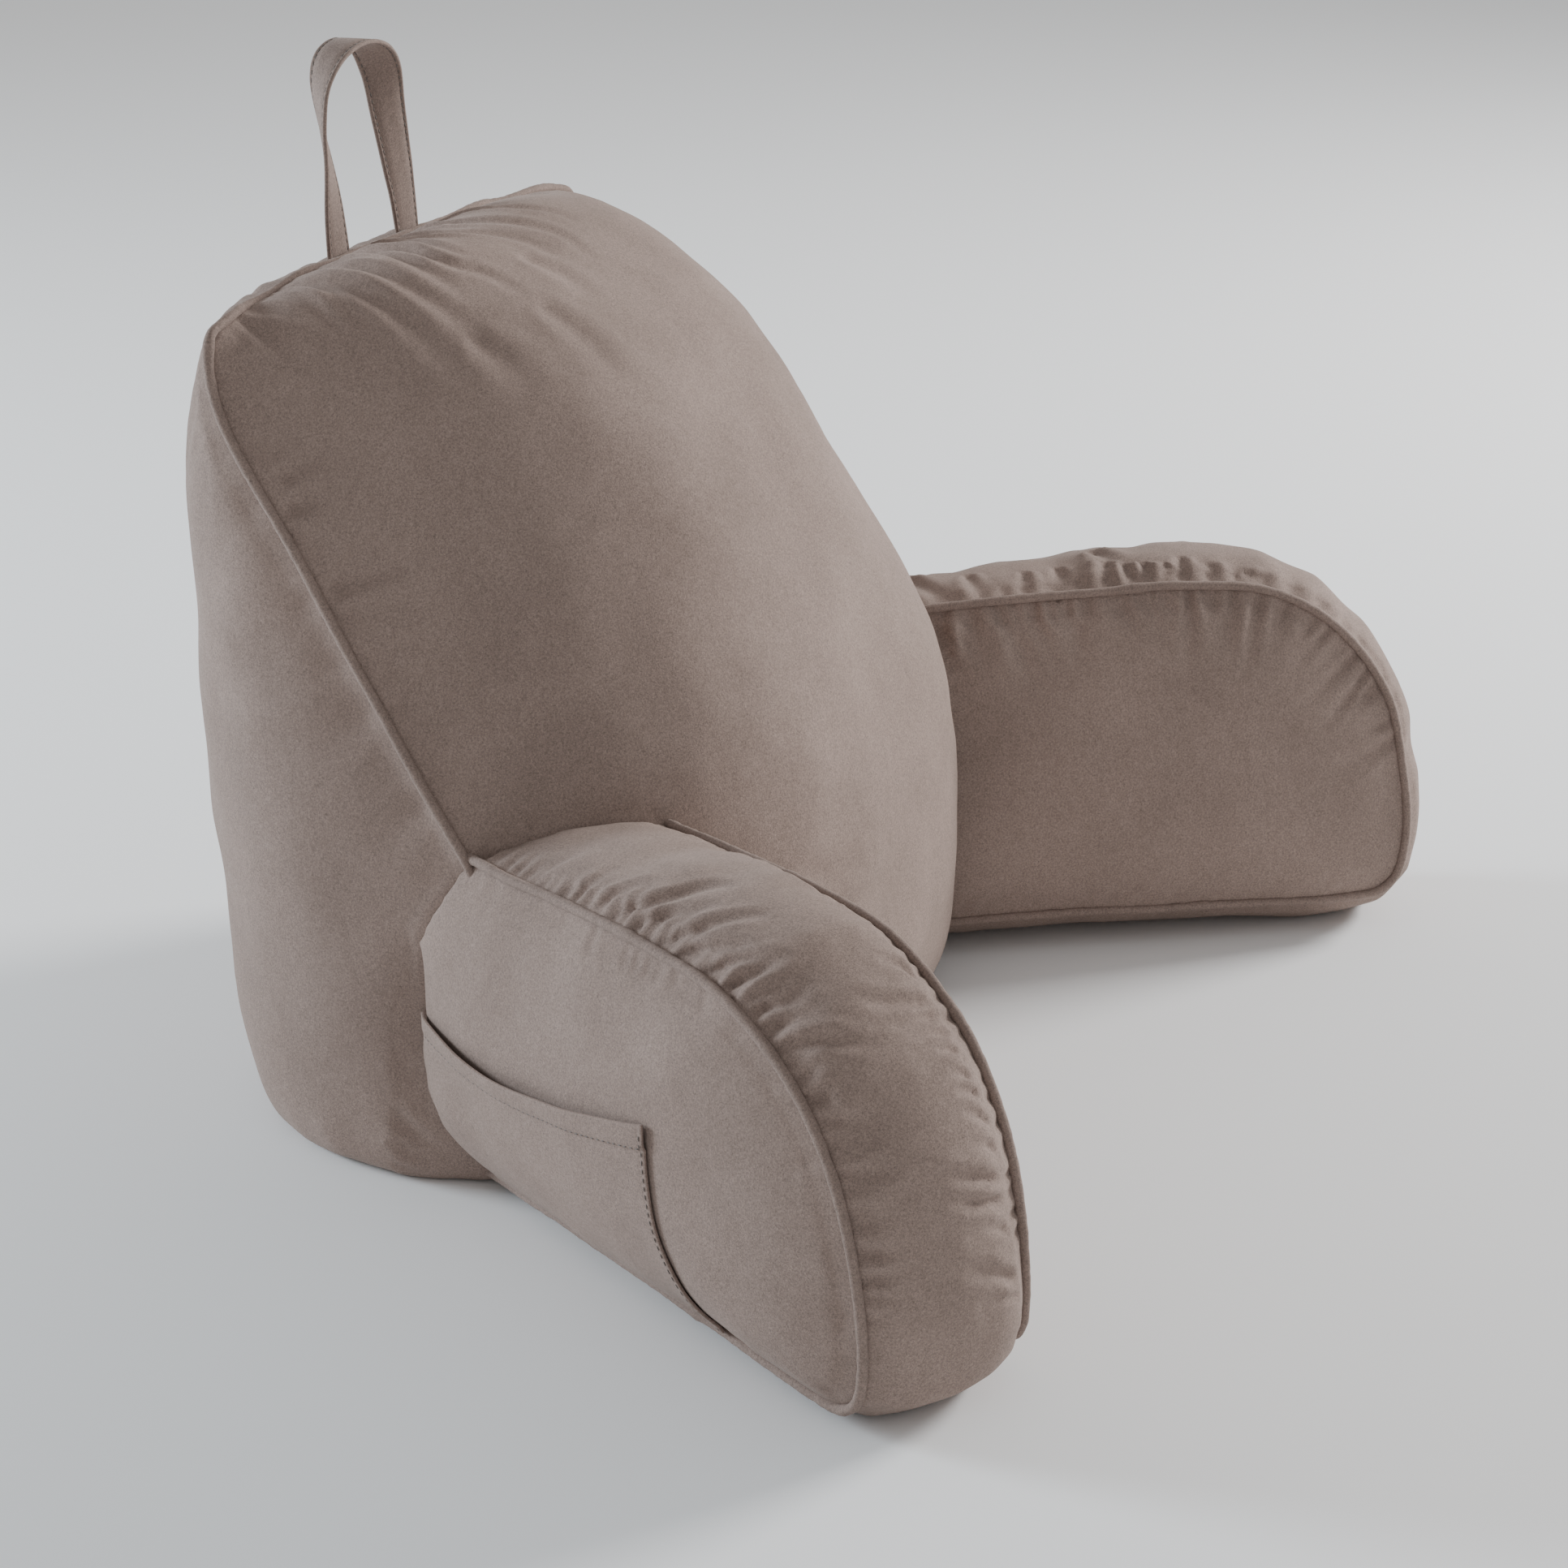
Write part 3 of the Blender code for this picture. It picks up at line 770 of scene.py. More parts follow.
backrest = {
    "voxel": 0.0055,
    "joinReach": 0.020,
    "joinDepth": 0.0008,
    "tuck": 0.0,
    "lumpSeed": 4.0,
    "lumpShare": 1.0,
    "fill": 0.8,
}
backGathers = (
    # seam, side (1 the panel, -1 the side piece), seed, start and end in metres,
    # then spacing, half width, reach and depth in millimetres, and lean
    ("round", 1.0, 11, 0.02, 0.27, (24, 50), (4, 8), (20, 50), (0.7, 1.8), (-0.5, 0.2)),
    ("round", 1.0, 12, 0.30, 0.70, (8, 21), (3.5, 7), (25, 85), (1, 2.6), (-0.7, 0.4)),
    ("round", 1.0, 13, 0.72, 0.97, (22, 48), (4, 8), (20, 50), (0.7, 1.8), (-0.2, 0.5)),
    ("round", -1.0, 21, 0.02, 0.27, (25, 60), (4.5, 9), (20, 60), (0.6, 1.5), (-0.3, 0.3)),
    ("round", -1.0, 22, 0.30, 0.70, (12, 30), (4, 8), (20, 60), (0.8, 2), (-0.4, 0.4)),
    ("round", -1.0, 23, 0.72, 0.97, (25, 60), (4.5, 9), (20, 60), (0.6, 1.5), (-0.3, 0.3)),
)
backCreases = (
    # folds of the backrest in millimetres: half width, depth and the places along each
    (4.5, 3.4, (-60, 432, 438), (-64, 409, 447), (-69, 387, 451), (-74, 368, 449), (-70, 352, 444)),
    (5, 3.6, (-78, 432, 437), (-80, 411, 446), (-82, 390, 449), (-85, 362, 444), (-77, 343, 439),
     (-75, 322, 429)),
    (5, 2.8, (-80, 432, 437), (-85, 411, 445), (-91, 391, 447), (-100, 366, 442), (-100, 343, 432)),
    (6, 3, (-108, 432, 436), (-111, 412, 444), (-113, 393, 445), (-117, 368, 437), (-116, 346, 427),
     (-116, 329, 419)),
    (7, 3.2, (-130, 432, 435), (-130, 416, 440), (-131, 400, 440), (-132, 378, 434), (-133, 360, 425),
     (-136, 341, 412), (-136, 328, 403)),
    (5, 2.6, (-129, 432, 435), (-133, 417, 439), (-137, 403, 437), (-143, 386, 429), (-146, 373, 421),
     (-148, 362, 414)),
    (6, 2, (-144, 432, 434), (-147, 420, 436), (-149, 408, 432), (-153, 392, 426), (-155, 379, 417)),
    (7, 1.6, (-157, 432, 432), (-158, 424, 434), (-158, 416, 430), (-159, 400, 424), (-163, 386, 414)),
    (5, 3, (-54, 432, 438), (-47, 409, 448), (-41, 386, 452), (-30, 368, 450), (-21, 349, 445),
     (-20, 329, 437)),
    (5, 2.6, (-27, 432, 438), (-20, 405, 448), (-12, 378, 453), (-3, 358, 450), (3, 340, 444),
     (-1, 318, 433)),
    (4.5, 2, (4, 432, 438), (12, 404, 448), (20, 376, 452), (28, 359, 449), (30, 342, 443)),
    (9, 2, (-43, 344, 443), (-34, 322, 433), (-36, 301, 421)),
    (11, 2, (-76, 318, 427), (-71, 301, 417), (-71, 281, 400), (-77, 267, 385)),
    (10, 2, (-119, 333, 419), (-118, 311, 405), (-115, 296, 394)),
    (8, 1.6, (-188, 429, 421), (-176, 422, 422), (-172, 409, 418)),
    (6, 4.8, (-213, 363, 301), (-206, 352, 309), (-197, 337, 316), (-189, 324, 321)),
    (6, 3.2, (-212, 362, 305), (-204, 355, 316), (-198, 350, 326)),
    (6, 3.2, (-203, 394, 353), (-196, 387, 362), (-187, 375, 371)),
    (6, 2.6, (-207, 390, 341), (-200, 377, 346), (-195, 366, 348)),
    (7, 2.2, (-208, 386, 333), (-207, 374, 325), (-208, 365, 316)),
    (8, 1.8, (-85, 145, 125), (-57, 141, 124), (-22, 139, 123)),
    (9, 1.3, (-112, 157, 153), (-82, 147, 144), (-32, 142, 140)),
    (8, 1.6, (-218, 336, 268), (-212, 325, 270), (-206, 309, 268)),
    (7, 2.6, (-235, 329, 40), (-233, 315, 27), (-229, 299, 15), (-224, 288, 6)),
    (6, 2.4, (-237, 328, 24), (-232, 313, 14), (-226, 298, 4)),
    (5, 1.8, (-235, 330, 10), (-231, 317, 5), (-225, 304, 1)),
    (8, 1.4, (-231, 324, 75), (-231, 318, 60), (-230, 310, 44)),
)

backrestCover = makeCover(
    "backrest", backrest, backrest["lumpSeed"], ["arm_left", "arm_right"],
    {"round": backSeam}, backGathers, backCreases,
)


# Arms

arms = {
    "voxel": 0.0036,
    "joinReach": 0.020,
    "joinDepth": 0.0018,
    "tuck": 0.005,
    "lumpSeed": {"left": 7.0, "right": 13.0},
    "lumpShare": 0.8,
    "fill": 0.85,
}
armGathers = {
    # as the backrest's, with -1 for the boxing
    "left": (
        ("outer", -1.0, 31, 0.46, 1.00, (7, 13), (2.6, 4.2), (18, 42), (1, 2.2), (-0.2, 0.25)),
        ("inner", -1.0, 32, 0.46, 1.00, (6, 11), (2.4, 3.6), (12, 30), (0.8, 1.8), (-0.25, 0.2)),
        ("outer", 1.0, 33, 0.50, 0.98, (14, 45), (2.8, 5), (12, 30), (0.4, 1.1), (-0.4, 0.4)),
        ("inner", 1.0, 34, 0.46, 0.98, (10, 22), (2.8, 5), (15, 36), (0.8, 1.8), (-0.4, 0.4)),
        ("outer", 1.0, 35, 0.02, 0.46, (30, 70), (4, 7), (12, 30), (0.4, 1), (-0.4, 0.4)),
        ("inner", 1.0, 36, 0.02, 0.46, (15, 40), (3, 6), (12, 30), (0.4, 1.1), (-0.4, 0.4)),
    ),
    "right": (
        ("outer", -1.0, 41, 0.46, 1.00, (9, 18), (2.8, 5), (18, 45), (0.9, 2), (-0.5, 0.5)),
        ("inner", -1.0, 42, 0.46, 1.00, (11, 24), (3.8, 6.8), (22, 48), (0.8, 1.7), (-0.3, 0.3)),
        ("outer", 1.0, 43, 0.50, 0.98, (14, 45), (2.8, 5), (12, 30), (0.4, 1.1), (-0.4, 0.4)),
        ("inner", 1.0, 44, 0.48, 0.98, (10, 23), (3.6, 7), (28, 60), (1.5, 3), (-0.35, 0.35)),
        ("outer", 1.0, 45, 0.02, 0.46, (30, 70), (4, 7), (12, 30), (0.4, 1), (-0.4, 0.4)),
        ("inner", 1.0, 46, 0.02, 0.46, (15, 40), (3, 6), (10, 25), (0.4, 1), (-0.4, 0.4)),
    ),
}
# folds of the arms, as the backrest's
leftArmCreases = (
    (5, 1.8, (-256, 236, 183), (-257, 229, 188), (-262, 213, 195)),
    (5, 2.2, (-267, 219, 184), (-268, 206, 192), (-269, 188, 201)),
    (4.5, 3, (-280, 187, 192), (-280, 180, 199), (-277, 172, 204), (-272, 159, 209)),
    (5, 3.2, (-289, 172, 192), (-290, 160, 202), (-286, 146, 207), (-276, 132, 211), (-274, 115, 215)),
    (4.5, 2.8, (-298, 157, 192), (-297, 145, 201), (-296, 132, 207), (-293, 115, 212)),
    (4.5, 3.6, (-309, 139, 192), (-311, 127, 202), (-308, 117, 206), (-302, 102, 211), (-297, 89, 212)),
    (4, 3.2, (-316, 127, 192), (-320, 111, 201), (-320, 98, 204), (-321, 86, 205)),
    (4, 3.2, (-326, 109, 191), (-329, 97, 199), (-326, 87, 202), (-323, 75, 204)),
    (4.5, 3.4, (-333, 96, 189), (-335, 85, 197), (-327, 76, 202), (-318, 70, 205)),
    (4, 3, (-337, 91, 187), (-339, 77, 192), (-333, 68, 195)),
    (4.5, 3.2, (-341, 82, 185), (-341, 69, 188), (-335, 61, 192), (-326, 59, 197)),
    (4, 2.6, (-346, 74, 181), (-347, 62, 184), (-344, 56, 187)),
    (5, 3.6, (-352, 65, 173), (-354, 53, 177), (-349, 42, 180), (-342, 28, 179), (-330, 20, 181)),
    (4, 2.4, (-355, 59, 169), (-356, 48, 173), (-354, 40, 175)),
    (4.5, 2.4, (-287, 21, 189), (-289, 30, 195), (-299, 37, 199)),
    (5, 3.2, (-291, 12, 181), (-309, 18, 186), (-322, 28, 190), (-326, 39, 193)),
    (5, 3, (-292, 8, 176), (-309, 11, 180), (-321, 17, 182), (-334, 27, 183)),
    (4, 2.4, (-296, 1, 170), (-312, 6, 175), (-323, 12, 177)),
    (3.5, 2.2, (-304, -5, 166), (-318, 1, 170)),
    (3.5, 2.2, (-309, -13, 156), (-321, -6, 162)),
    (3.5, 2.2, (-310, -17, 149), (-324, -10, 155)),
    (3.5, 2.2, (-313, -23, 138), (-327, -15, 147)),
    (3.5, 2, (-315, -28, 126), (-333, -20, 135)),
    (5, 3, (-318, -32, 113), (-337, -24, 120), (-354, -11, 127), (-362, -2, 131)),
    (5, 2.8, (-313, -32, 100), (-338, -26, 110), (-359, -9, 121), (-370, 3, 121)),
    (3.5, 2, (-313, -35, 86), (-333, -29, 95)),
    (5, 2.6, (-313, -40, 62), (-334, -34, 74), (-353, -22, 83)),
    (3.5, 2, (-312, -39, 53), (-337, -33, 64)),
    (4, 2.6, (-361, 50, 158), (-362, 39, 158), (-364, 27, 157)),
    (4, 2.4, (-366, 41, 149), (-366, 31, 151), (-363, 19, 149)),
    (3.5, 2, (-370, 35, 135), (-369, 25, 138)),
    (4, 2.4, (-372, 29, 126), (-371, 20, 127), (-370, 11, 130)),
    (4.5, 2.8, (-375, 23, 108), (-374, 12, 110), (-371, -1, 109)),
    (4.5, 2.4, (-375, 20, 96), (-375, 10, 96), (-371, -4, 97)),
    (4.5, 2.6, (-375, 16, 79), (-375, 3, 82), (-371, -6, 83)),
    (4, 1.8, (-375, 12, 62), (-375, -2, 64)),
    (4, 1.2, (-305, 160, 185), (-313, 153, 181)),
    (4, 1.4, (-309, 152, 185), (-317, 147, 181)),
    (4, 1.2, (-313, 144, 186), (-320, 142, 181)),
    (4, 1.2, (-317, 136, 187), (-323, 135, 182)),
    (5, 1.2, (-322, 124, 187), (-329, 124, 182)),
)
rightArmCreases = (
    (5, 2.2, (192, 166, 207), (187, 161, 203), (184, 155, 196)),
    (5, 2.8, (199, 155, 208), (193, 151, 203), (188, 142, 192)),
    (5, 3, (205, 143, 207), (197, 139, 200), (194, 131, 190), (195, 126, 185)),
    (4.5, 2.4, (208, 137, 207), (202, 130, 200), (202, 122, 194)),
    (5, 3, (214, 127, 207), (207, 121, 200), (208, 111, 191)),
    (5, 2, (220, 116, 207), (215, 111, 201), (214, 107, 196)),
    (5, 2.2, (236, 92, 209), (233, 86, 204), (232, 80, 199)),
    (5, 2.4, (244, 80, 209), (240, 73, 203), (240, 65, 196)),
    (5, 1.6, (258, 59, 209), (255, 53, 204), (253, 48, 198)),
    (6, 1.6, (226, 108, 208), (223, 101, 203), (223, 94, 198)),
    (5, 2.4, (220, 191, 212), (198, 178, 213), (194, 171, 211)),
    (5, 2.6, (228, 159, 219), (213, 151, 217), (210, 144, 212)),
    (5, 2, (243, 144, 219), (227, 135, 216), (220, 130, 213)),
    (6, 3.2, (251, 117, 225), (237, 110, 220), (233, 106, 213)),
    (5, 2.8, (251, 105, 224), (243, 99, 220), (241, 93, 213)),
    (5, 2.8, (257, 94, 223), (248, 90, 219), (244, 89, 213)),
    (5, 2.2, (262, 81, 223), (255, 79, 219), (253, 77, 215)),
    (5, 2.6, (274, 77, 225), (260, 72, 219), (260, 67, 215)),
    (7, 3.2, (268, 133, 224), (260, 121, 225), (245, 111, 223)),
    (6, 1.8, (277, 61, 222), (271, 55, 218), (270, 51, 214)),
    (6, 1.6, (284, 41, 218), (282, 35, 213), (281, 29, 208)),
    (4, 2.4, (167, 193, 201), (172, 185, 201), (174, 176, 199)),
    (3.5, 2.2, (164, 188, 197), (168, 181, 196)),
    (4, 2.2, (161, 185, 191), (167, 176, 191), (169, 169, 188)),
    (3.5, 2, (159, 182, 184), (163, 176, 184)),
    (4, 1.8, (157, 181, 178), (161, 173, 176)),
    (5, 1.4, (154, 178, 167), (158, 170, 164)),
    (6, 2.6, (220, 230, 206), (192, 206, 212), (186, 193, 212)),
    (7, 1.2, (160, 158, 28), (161, 146, 36), (169, 133, 36)),
    (7, 1.2, (199, 93, 30), (203, 80, 37), (214, 63, 37)),
    (5, 1.2, (270, -20, 31), (270, -23, 37), (272, -29, 41)),
)
armCreases = {"left": leftArmCreases, "right": rightArmCreases}

armCovers = {
    name: makeCover(
        "arm_" + name, arms, arms["lumpSeed"][name], ["backrest"],
        armSeams[name], armGathers[name], armCreases[name],
    )
    for name in ("left", "right")
}


# Piping: a covered cord in each seam

piping = {
    "sides": 12,
    "pinch": 0.00036,
    "pinchScale": 240.0,
    "hideAt": 0.0120,
    "jointAt": (0.30, 0.74),
    "jointSwell": 0.0005,
    "jointLength": 0.005,
}


def sweep(bm, ring, stations):
    # a closed bar: one ring of points carried along stations of (place, across, outward, size)
    bmesh.ops.create_circle(bm, cap_ends=True, segments=len(ring), radius=0.01)
    bm.faces.ensure_lookup_table()
    face = bm.faces[0]
    verts = [loop.vert for loop in face.loops]
    for number, (place, across, outward, size) in enumerate(stations):
        if number:
            behind = face
            made = bmesh.ops.extrude_face_region(bm, geom=[face])
            face = [g for g in made["geom"] if isinstance(g, bmesh.types.BMFace)][0]
            if number > 1 and behind.is_valid:
                bm.faces.remove(behind)  # no wall is left inside the bar
            verts = [loop.vert for loop in face.loops]
        for vert, (a, b) in zip(verts, ring):
            vert.co = place + across * a * size + outward * b * size
    bmesh.ops.remove_doubles(bm, verts=bm.verts, dist=0.000001)
    bmesh.ops.recalc_face_normals(bm, faces=bm.faces)


def pipingPiece(name, seam, hideIn, node):
    # the cord in one seam, as far as the piece that it runs into hides it
    ring = []
    for k in range(piping["sides"]):
        angle = 2.0 * math.pi * k / piping["sides"]
        ring.append((math.cos(angle) * seams["cord"], math.sin(angle) * seams["cord"]))
    stations = []
    total = seam.reach[-1]
    for i, point in enumerate(seam.points):
        place = Vector(point)
        spot, normal, index, away = hideIn.find_nearest(place) if hideIn else (None, None, None, None)
        if spot is not None and (place - spot).dot(normal) < -piping["hideAt"]:
            continue
        along = Vector(seam.along[i])
        across = along.cross(Vector(seam.outward[i])).normalized()
        outward = across.cross(along).normalized()
        size = 1.0 + piping["pinch"] / seams["cord"] * noise.noise(place * piping["pinchScale"])
        for joint in piping["jointAt"]:
            gap = (seam.reach[i] - joint * total) / piping["jointLength"]
            size += piping["jointSwell"] / seams["cord"] * math.exp(-gap * gap)
        stations.append((place, across, outward, size))
    length = sum((b[0] - a[0]).length for a, b in zip(stations, stations[1:]))
    print("cord:", name, round(length, 3))
    bm = bmesh.new()
    sweep(bm, ring, stations)
    finishPiece(meshObject(name, bm), cordCloth, "piping", node)


backrestSurface = surfaceOf(backrestCover)
pipingPiece("backrest_cord", backSeam, None, "backrest_piping")
for name in ("left", "right"):
    for seamName in ("outer", "inner"):
        node = "arm_" + name + "_piping_" + seamName
        pipingPiece("arm_" + name + "_cord_" + seamName, armSeams[name][seamName], backrestSurface, node)
print("piping laid in its seams")


# Pocket: one cloth on the near arm's outer panel, hemmed along its mouth

pocket = {
    "flat": (0.222, 0.104),
    "thick": 0.0016,
    "rim": 0.0004,
    "lift": 0.0006,
    "gape": 0.0042,
    "settle": 3,
    "hem": 0.0125,
    "hemThick": 0.0010,
    "hemDip": 0.0005,
    "edgeFold": 0.0035,
    "foldThick": 0.0008,
    "wide": 0.26,
    "columns": 96,
    "rows": 48,
    "frontFoot": -0.100,
    "footUp": 0.0120,
    "frontBow": 0.006,
    "castFrom": 0.09,
    "clear": 0.0008,
    "searchSteps": 400,
    "searchShare": 0.6,
    "searchStep": 0.001,
    "startRows": 24,
}
pocketTop = (
    # forward, up
    (-0.395, 0.100),
    (-0.310, 0.099),
    (-0.250, 0.097),
    (-0.185, 0.106),
    (-0.122, 0.120),
)
stitch = {
    "length": 0.0030,
    "gap": 0.0013,
    "thick": 0.00035,
    "lift": 0.0004,
}

corner, ahead, rise, out, height = armPlace("left")
armSurface = surfaceOf(armCovers["left"])


def pocketSpot(along, down):
    # forward and up on the panel, from the mouth down to the sole
    top = curveAt(pocketTop, along * (len(pocketTop) - 1))
    slant = (pocket["frontFoot"] - pocketTop[-1][0]) * along ** 3
    bow = pocket["frontBow"] * math.sin(math.pi * down) * along ** 4
    return top[0] + slant * down - bow, top[1] + (pocket["footUp"] - top[1]) * down


def onPanel(u, v):
    # the place on the arm's cover under a spot of the panel, unless the backrest covers it
    high = corner + ahead * u + rise * v + out * pocket["castFrom"]
    spot, normal, index, away = armSurface.ray_cast(high, -out)
    cover = backrestSurface.ray_cast(high, -out)
    if spot is None or (cover[0] is not None and cover[3] < away + pocket["clear"]):
        return None
    return spot


def pocketStart(down):
    # where the pocket's cloth comes out of the seam with the backrest
    for i in range(pocket["searchSteps"]):
        along = i / pocket["searchSteps"] * pocket["searchShare"]
        if onPanel(*pocketSpot(along, down)) is not None:
            return along
    return pocket["searchShare"] / 2.0


def panelDepths(starts):
    # how far out the arm lies under each place of the pocket, evened like a stretched cloth
    depths = np.zeros((pocket["rows"] + 1, pocket["columns"] + 1))
    for j in range(pocket["rows"] + 1):
        for i in range(pocket["columns"] + 1):
            u, v = pocketFlat(starts, i / pocket["columns"], j / pocket["rows"])
            spot = onPanel(u, v)
            while spot is None and u < 0.0:
                u += pocket["searchStep"]
                spot = onPanel(u, v)
            depths[j, i] = (spot - corner).dot(out)
    for number in range(pocket["settle"]):
        wide = np.pad(depths, 1, mode="edge")
        depths = (wide[:-2, 1:-1] + wide[2:, 1:-1] + wide[1:-1, :-2] + wide[1:-1, 2:] + 2.0 * depths) / 6.0
    return depths


def pocketFlat(starts, along, down):
    # forward and up on the panel, with the cloth begun where it comes out of the seam
    place = down * (len(starts) - 1)
    low = min(int(place), len(starts) - 2)
    begin = starts[low] + (starts[low + 1] - starts[low]) * (place - low)
    return pocketSpot(begin + (1.0 - begin) * along, down)


def pocketPoint(starts, depths, along, down, extra=0.0):
    # a place of the pocket with its gape, hem and folded edge, and the way out of it
    u, v = pocketFlat(starts, along, down)
    x, y = along * pocket["columns"], down * pocket["rows"]
    i, j = min(int(x), pocket["columns"] - 1), min(int(y), pocket["rows"] - 1)
    x, y = x - i, y - j
    here = (depths[j, i] * (1.0 - x) + depths[j, i + 1] * x) * (1.0 - y)
    here += (depths[j + 1, i] * (1.0 - x) + depths[j + 1, i + 1] * x) * y
    depth = down * (pocketTop[-1][1] - pocket["footUp"])
    gape = pocket["gape"] * math.sin(math.pi * min(1.0, along * 1.02)) ** 0.8 * max(0.0, 1.0 - down) ** 2.5
    hem = pocket["hemThick"] * max(0.0, min(1.0, (pocket["hem"] - depth) / 0.0022 + 0.5))
    seamDip = pocket["hemDip"] * math.exp(-((depth - pocket["hem"]) / 0.0012) ** 2)
    edge = (1.0 - along) * pocket["wide"]
    fold = pocket["foldThick"] * max(0.0, min(1.0, (pocket["edgeFold"] - edge) / 0.0012 + 0.5))
    lift = pocket["lift"] * min(1.0, edge / 0.006) + gape + hem - seamDip + fold + extra
    return corner + ahead * u + rise * v + out * (here + lift), out


starts = [pocketStart(i / pocket["startRows"]) for i in range(pocket["startRows"] + 1)]
near = [starts[max(0, i - 2):i + 3] for i in range(len(starts))]
starts = [sum(few) / len(few) for few in near]
depths = panelDepths(starts)
bm = bmesh.new()
bmesh.ops.create_grid(bm, x_segments=pocket["columns"], y_segments=pocket["rows"], size=0.5)
for vert in bm.verts:
    vert.co, way = pocketPoint(starts, depths, vert.co.x + 0.5, 0.5 - vert.co.y)
bmesh.ops.recalc_face_normals(bm, faces=bm.faces)
if sum(face.normal.dot(out) for face in bm.faces) < 0.0:
    bmesh.ops.reverse_faces(bm, faces=bm.faces)
pocketArea = sum(face.calc_area() for face in bm.faces)
pocketObject = meshObject("pocket_cloth", bm)
wall = pocketObject.modifiers.new("thickness", "SOLIDIFY")
wall.thickness = pocket["thick"]
wall.offset = 1.0
rim = pocketObject.modifiers.new("rim", "BEVEL")
rim.width = pocket["rim"]
rim.segments = 2
rim.limit_method = "ANGLE"
rim.angle_limit = math.radians(50.0)
applyModifiers(pocketObject)
finishPiece(pocketObject, bodyCloth, "cloth", "pocket")
print("pocket sewn on: area", round(pocketArea, 4))


def threadLine(bm, line):
    # stitches along a line of (place, way out of the cloth)
    carried = 0.0
    step = stitch["length"] + stitch["gap"]
    for (a, way), (b, nextWay) in zip(line, line[1:]):
        length = (b - a).length
        carried += length
        if carried < step:
            continue
        carried -= step
        along = (b - a).normalized()
        side = along.cross(way).normalized()
        turn = Matrix((along, side, side.cross(along))).transposed().to_4x4()
        size = Matrix.Diagonal((stitch["length"] * 0.5, stitch["thick"], stitch["thick"] * 0.8, 1.0))
        place = Matrix.Translation(b + way * stitch["thick"] * 0.4)
        bmesh.ops.create_icosphere(bm, subdivisions=1, radius=1.0, matrix=place @ turn @ size)


bm = bmesh.new()
hemDown = pocket["hem"] / (pocketTop[-1][1] - pocket["footUp"])
edgeAlong = 1.0 - pocket["edgeFold"] / pocket["wide"]
lift = pocket["thick"] + stitch["lift"]
threadLine(bm, [pocketPoint(starts, depths, 0.01 + 0.98 * i / 400.0, hemDown, lift) for i in range(401)])
threadLine(bm, [pocketPoint(starts, depths, edgeAlong, 0.02 + 0.97 * i / 300.0, lift) for i in range(301)])
finishPiece(meshObject("pocket_stitches", bm), threadMaterial, "cloth")
print("pocket stitched")


# Strap: a doubled band, stitched along both edges, that turns half round between its feet

strap = {
    "width": 0.022,
    "thick": 0.0024,
    "stations": 120,
    "turnStep": 0.05,
    "stitchIn": 0.0024,
    "stitchSteps": 800,
    "stitchSink": 0.70,
}
strapRows = (
    # out, back, up, turn of the width
    (-0.055, 0.4427, 0.4276, 0.0),
    (-0.060, 0.442, 0.458, 8.0),
    (-0.067, 0.440, 0.484, 24.0),
    (-0.075, 0.438, 0.508, 38.0),
    (-0.076, 0.437, 0.527, 55.0),
    (-0.066, 0.436, 0.541, 76.0),
    (-0.048, 0.435, 0.546, 92.0),
    (-0.030, 0.435, 0.541, 112.0),
    (-0.016, 0.436, 0.527, 135.0),
    (-0.007, 0.438, 0.505, 154.0),
    (0.003, 0.440, 0.480, 166.0),
    (0.012, 0.442, 0.458, 174.0),
    (0.019, 0.4429, 0.4276, 180.0),
)


def strapStation(share):
    # the middle of the strap, the way across its width and the way out of its face
    last = len(strapRows) - 1
    place = share * last
    x, y, z, turn = curveAt(strapRows, place)
    further = curveAt(strapRows, min(place + strap["turnStep"], last))
    before = curveAt(strapRows, max(place - strap["turnStep"], 0.0))
    along = Vector([a - b for a, b in zip(further[:3], before[:3])]).normalized()
    angle = math.radians(turn)
    width = Vector((math.cos(angle), math.sin(angle), 0.0))
    width = (width - along * width.dot(along)).normalized()
    return Vector((x, y, z)) - partOrigin, width, along.cross(width)


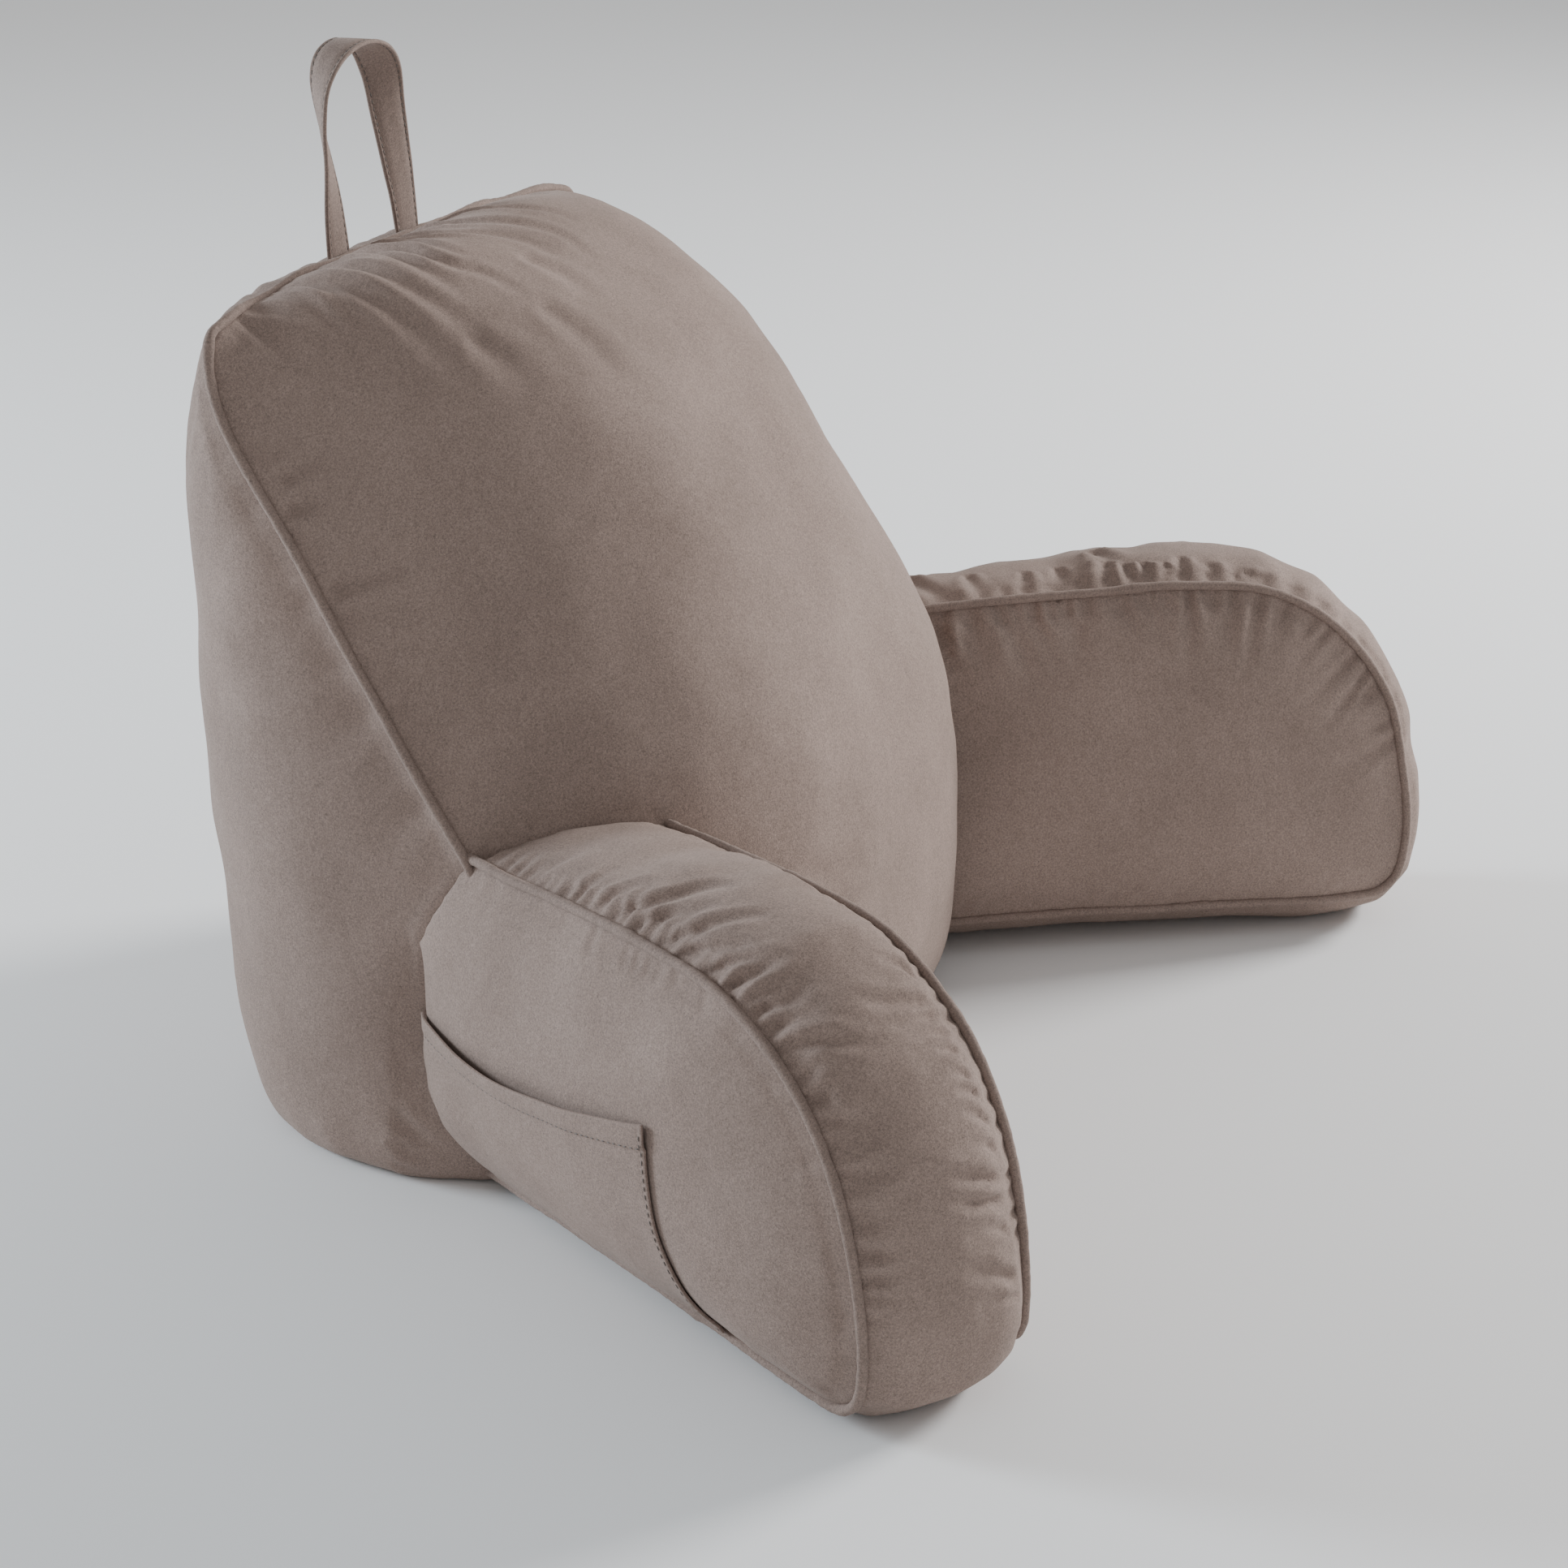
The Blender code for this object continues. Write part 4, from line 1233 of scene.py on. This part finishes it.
half = strap["width"] * 0.5
flat = strap["thick"] * 0.5
inner = half - strap["stitchIn"]
profile = [
    (-half, 0.0), (-half + 0.0004, flat * 0.75), (-half + 0.0012, flat), (-inner - 0.0006, flat * 0.95),
    (-inner, flat * 0.62), (-inner + 0.0008, flat * 0.98), (-half * 0.3, flat * 1.08),
    (half * 0.3, flat * 1.08), (inner - 0.0008, flat * 0.98), (inner, flat * 0.62),
    (inner + 0.0006, flat * 0.95), (half - 0.0012, flat), (half - 0.0004, flat * 0.75),
]
profile += [(half, 0.0)] + [(a, -b) for a, b in reversed(profile[1:])]
stations = [(*strapStation(i / strap["stations"]), 1.0) for i in range(strap["stations"] + 1)]
bm = bmesh.new()
sweep(bm, profile, stations)
strapObject = finishPiece(meshObject("carry_strap", bm), strapCloth, "strap", "strap")
bm = bmesh.new()
for sign in (-1.0, 1.0):
    for face in (-1.0, 1.0):
        line = []
        for i in range(strap["stitchSteps"] + 1):
            place, width, thick = strapStation(i / strap["stitchSteps"])
            sink = flat * strap["stitchSink"]
            line.append((place + width * sign * inner + thick * face * sink, thick * face))
        threadLine(bm, line)
finishPiece(meshObject("strap_stitches", bm), threadMaterial, "strap")


# Floor and light

studio = {
    "floor": (0.93, 0.93, 0.93, 1.0),
    "floorSize": 12.0,
    "floorRoughness": 0.9,
    "sky": 0.52,
    "aim": (0.0, 0.0, 0.2),
}
softLights = {
    # place, size, power, colour
    "right": ((2.5, -1.9, 1.5), 1.0, 140.0, (1.0, 1.0, 1.0)),
    "left": ((-0.6, 3.0, 1.0), 1.1, 104.0, (0.80, 0.91, 1.0)),
}

bm = bmesh.new()
bmesh.ops.create_grid(bm, x_segments=1, y_segments=1, size=studio["floorSize"])
floor = meshObject("floor", bm)
floorMaterial, tree, shader = newMaterial("pale floor")
feed(tree, shader, {"Base Color": studio["floor"], "Roughness": studio["floorRoughness"]})
floor.data.materials.append(floorMaterial)

world = bpy.data.worlds.new("studio")
world.use_nodes = True
feed(world.node_tree, world.node_tree.nodes["Background"], {
    "Color": (1.0, 1.0, 1.0, 1.0), "Strength": studio["sky"],
})
bpy.context.scene.world = world

for name, (place, size, power, colour) in softLights.items():
    light = bpy.data.lights.new(name, "AREA")
    light.shape = "DISK"
    light.size = size
    light.energy = power
    light.color = colour
    lamp = newObject(name, light)
    lamp.location = place
    lamp.rotation_euler = (Vector(studio["aim"]) - Vector(place)).to_track_quat("-Z", "Y").to_euler()
print("floor and light set")
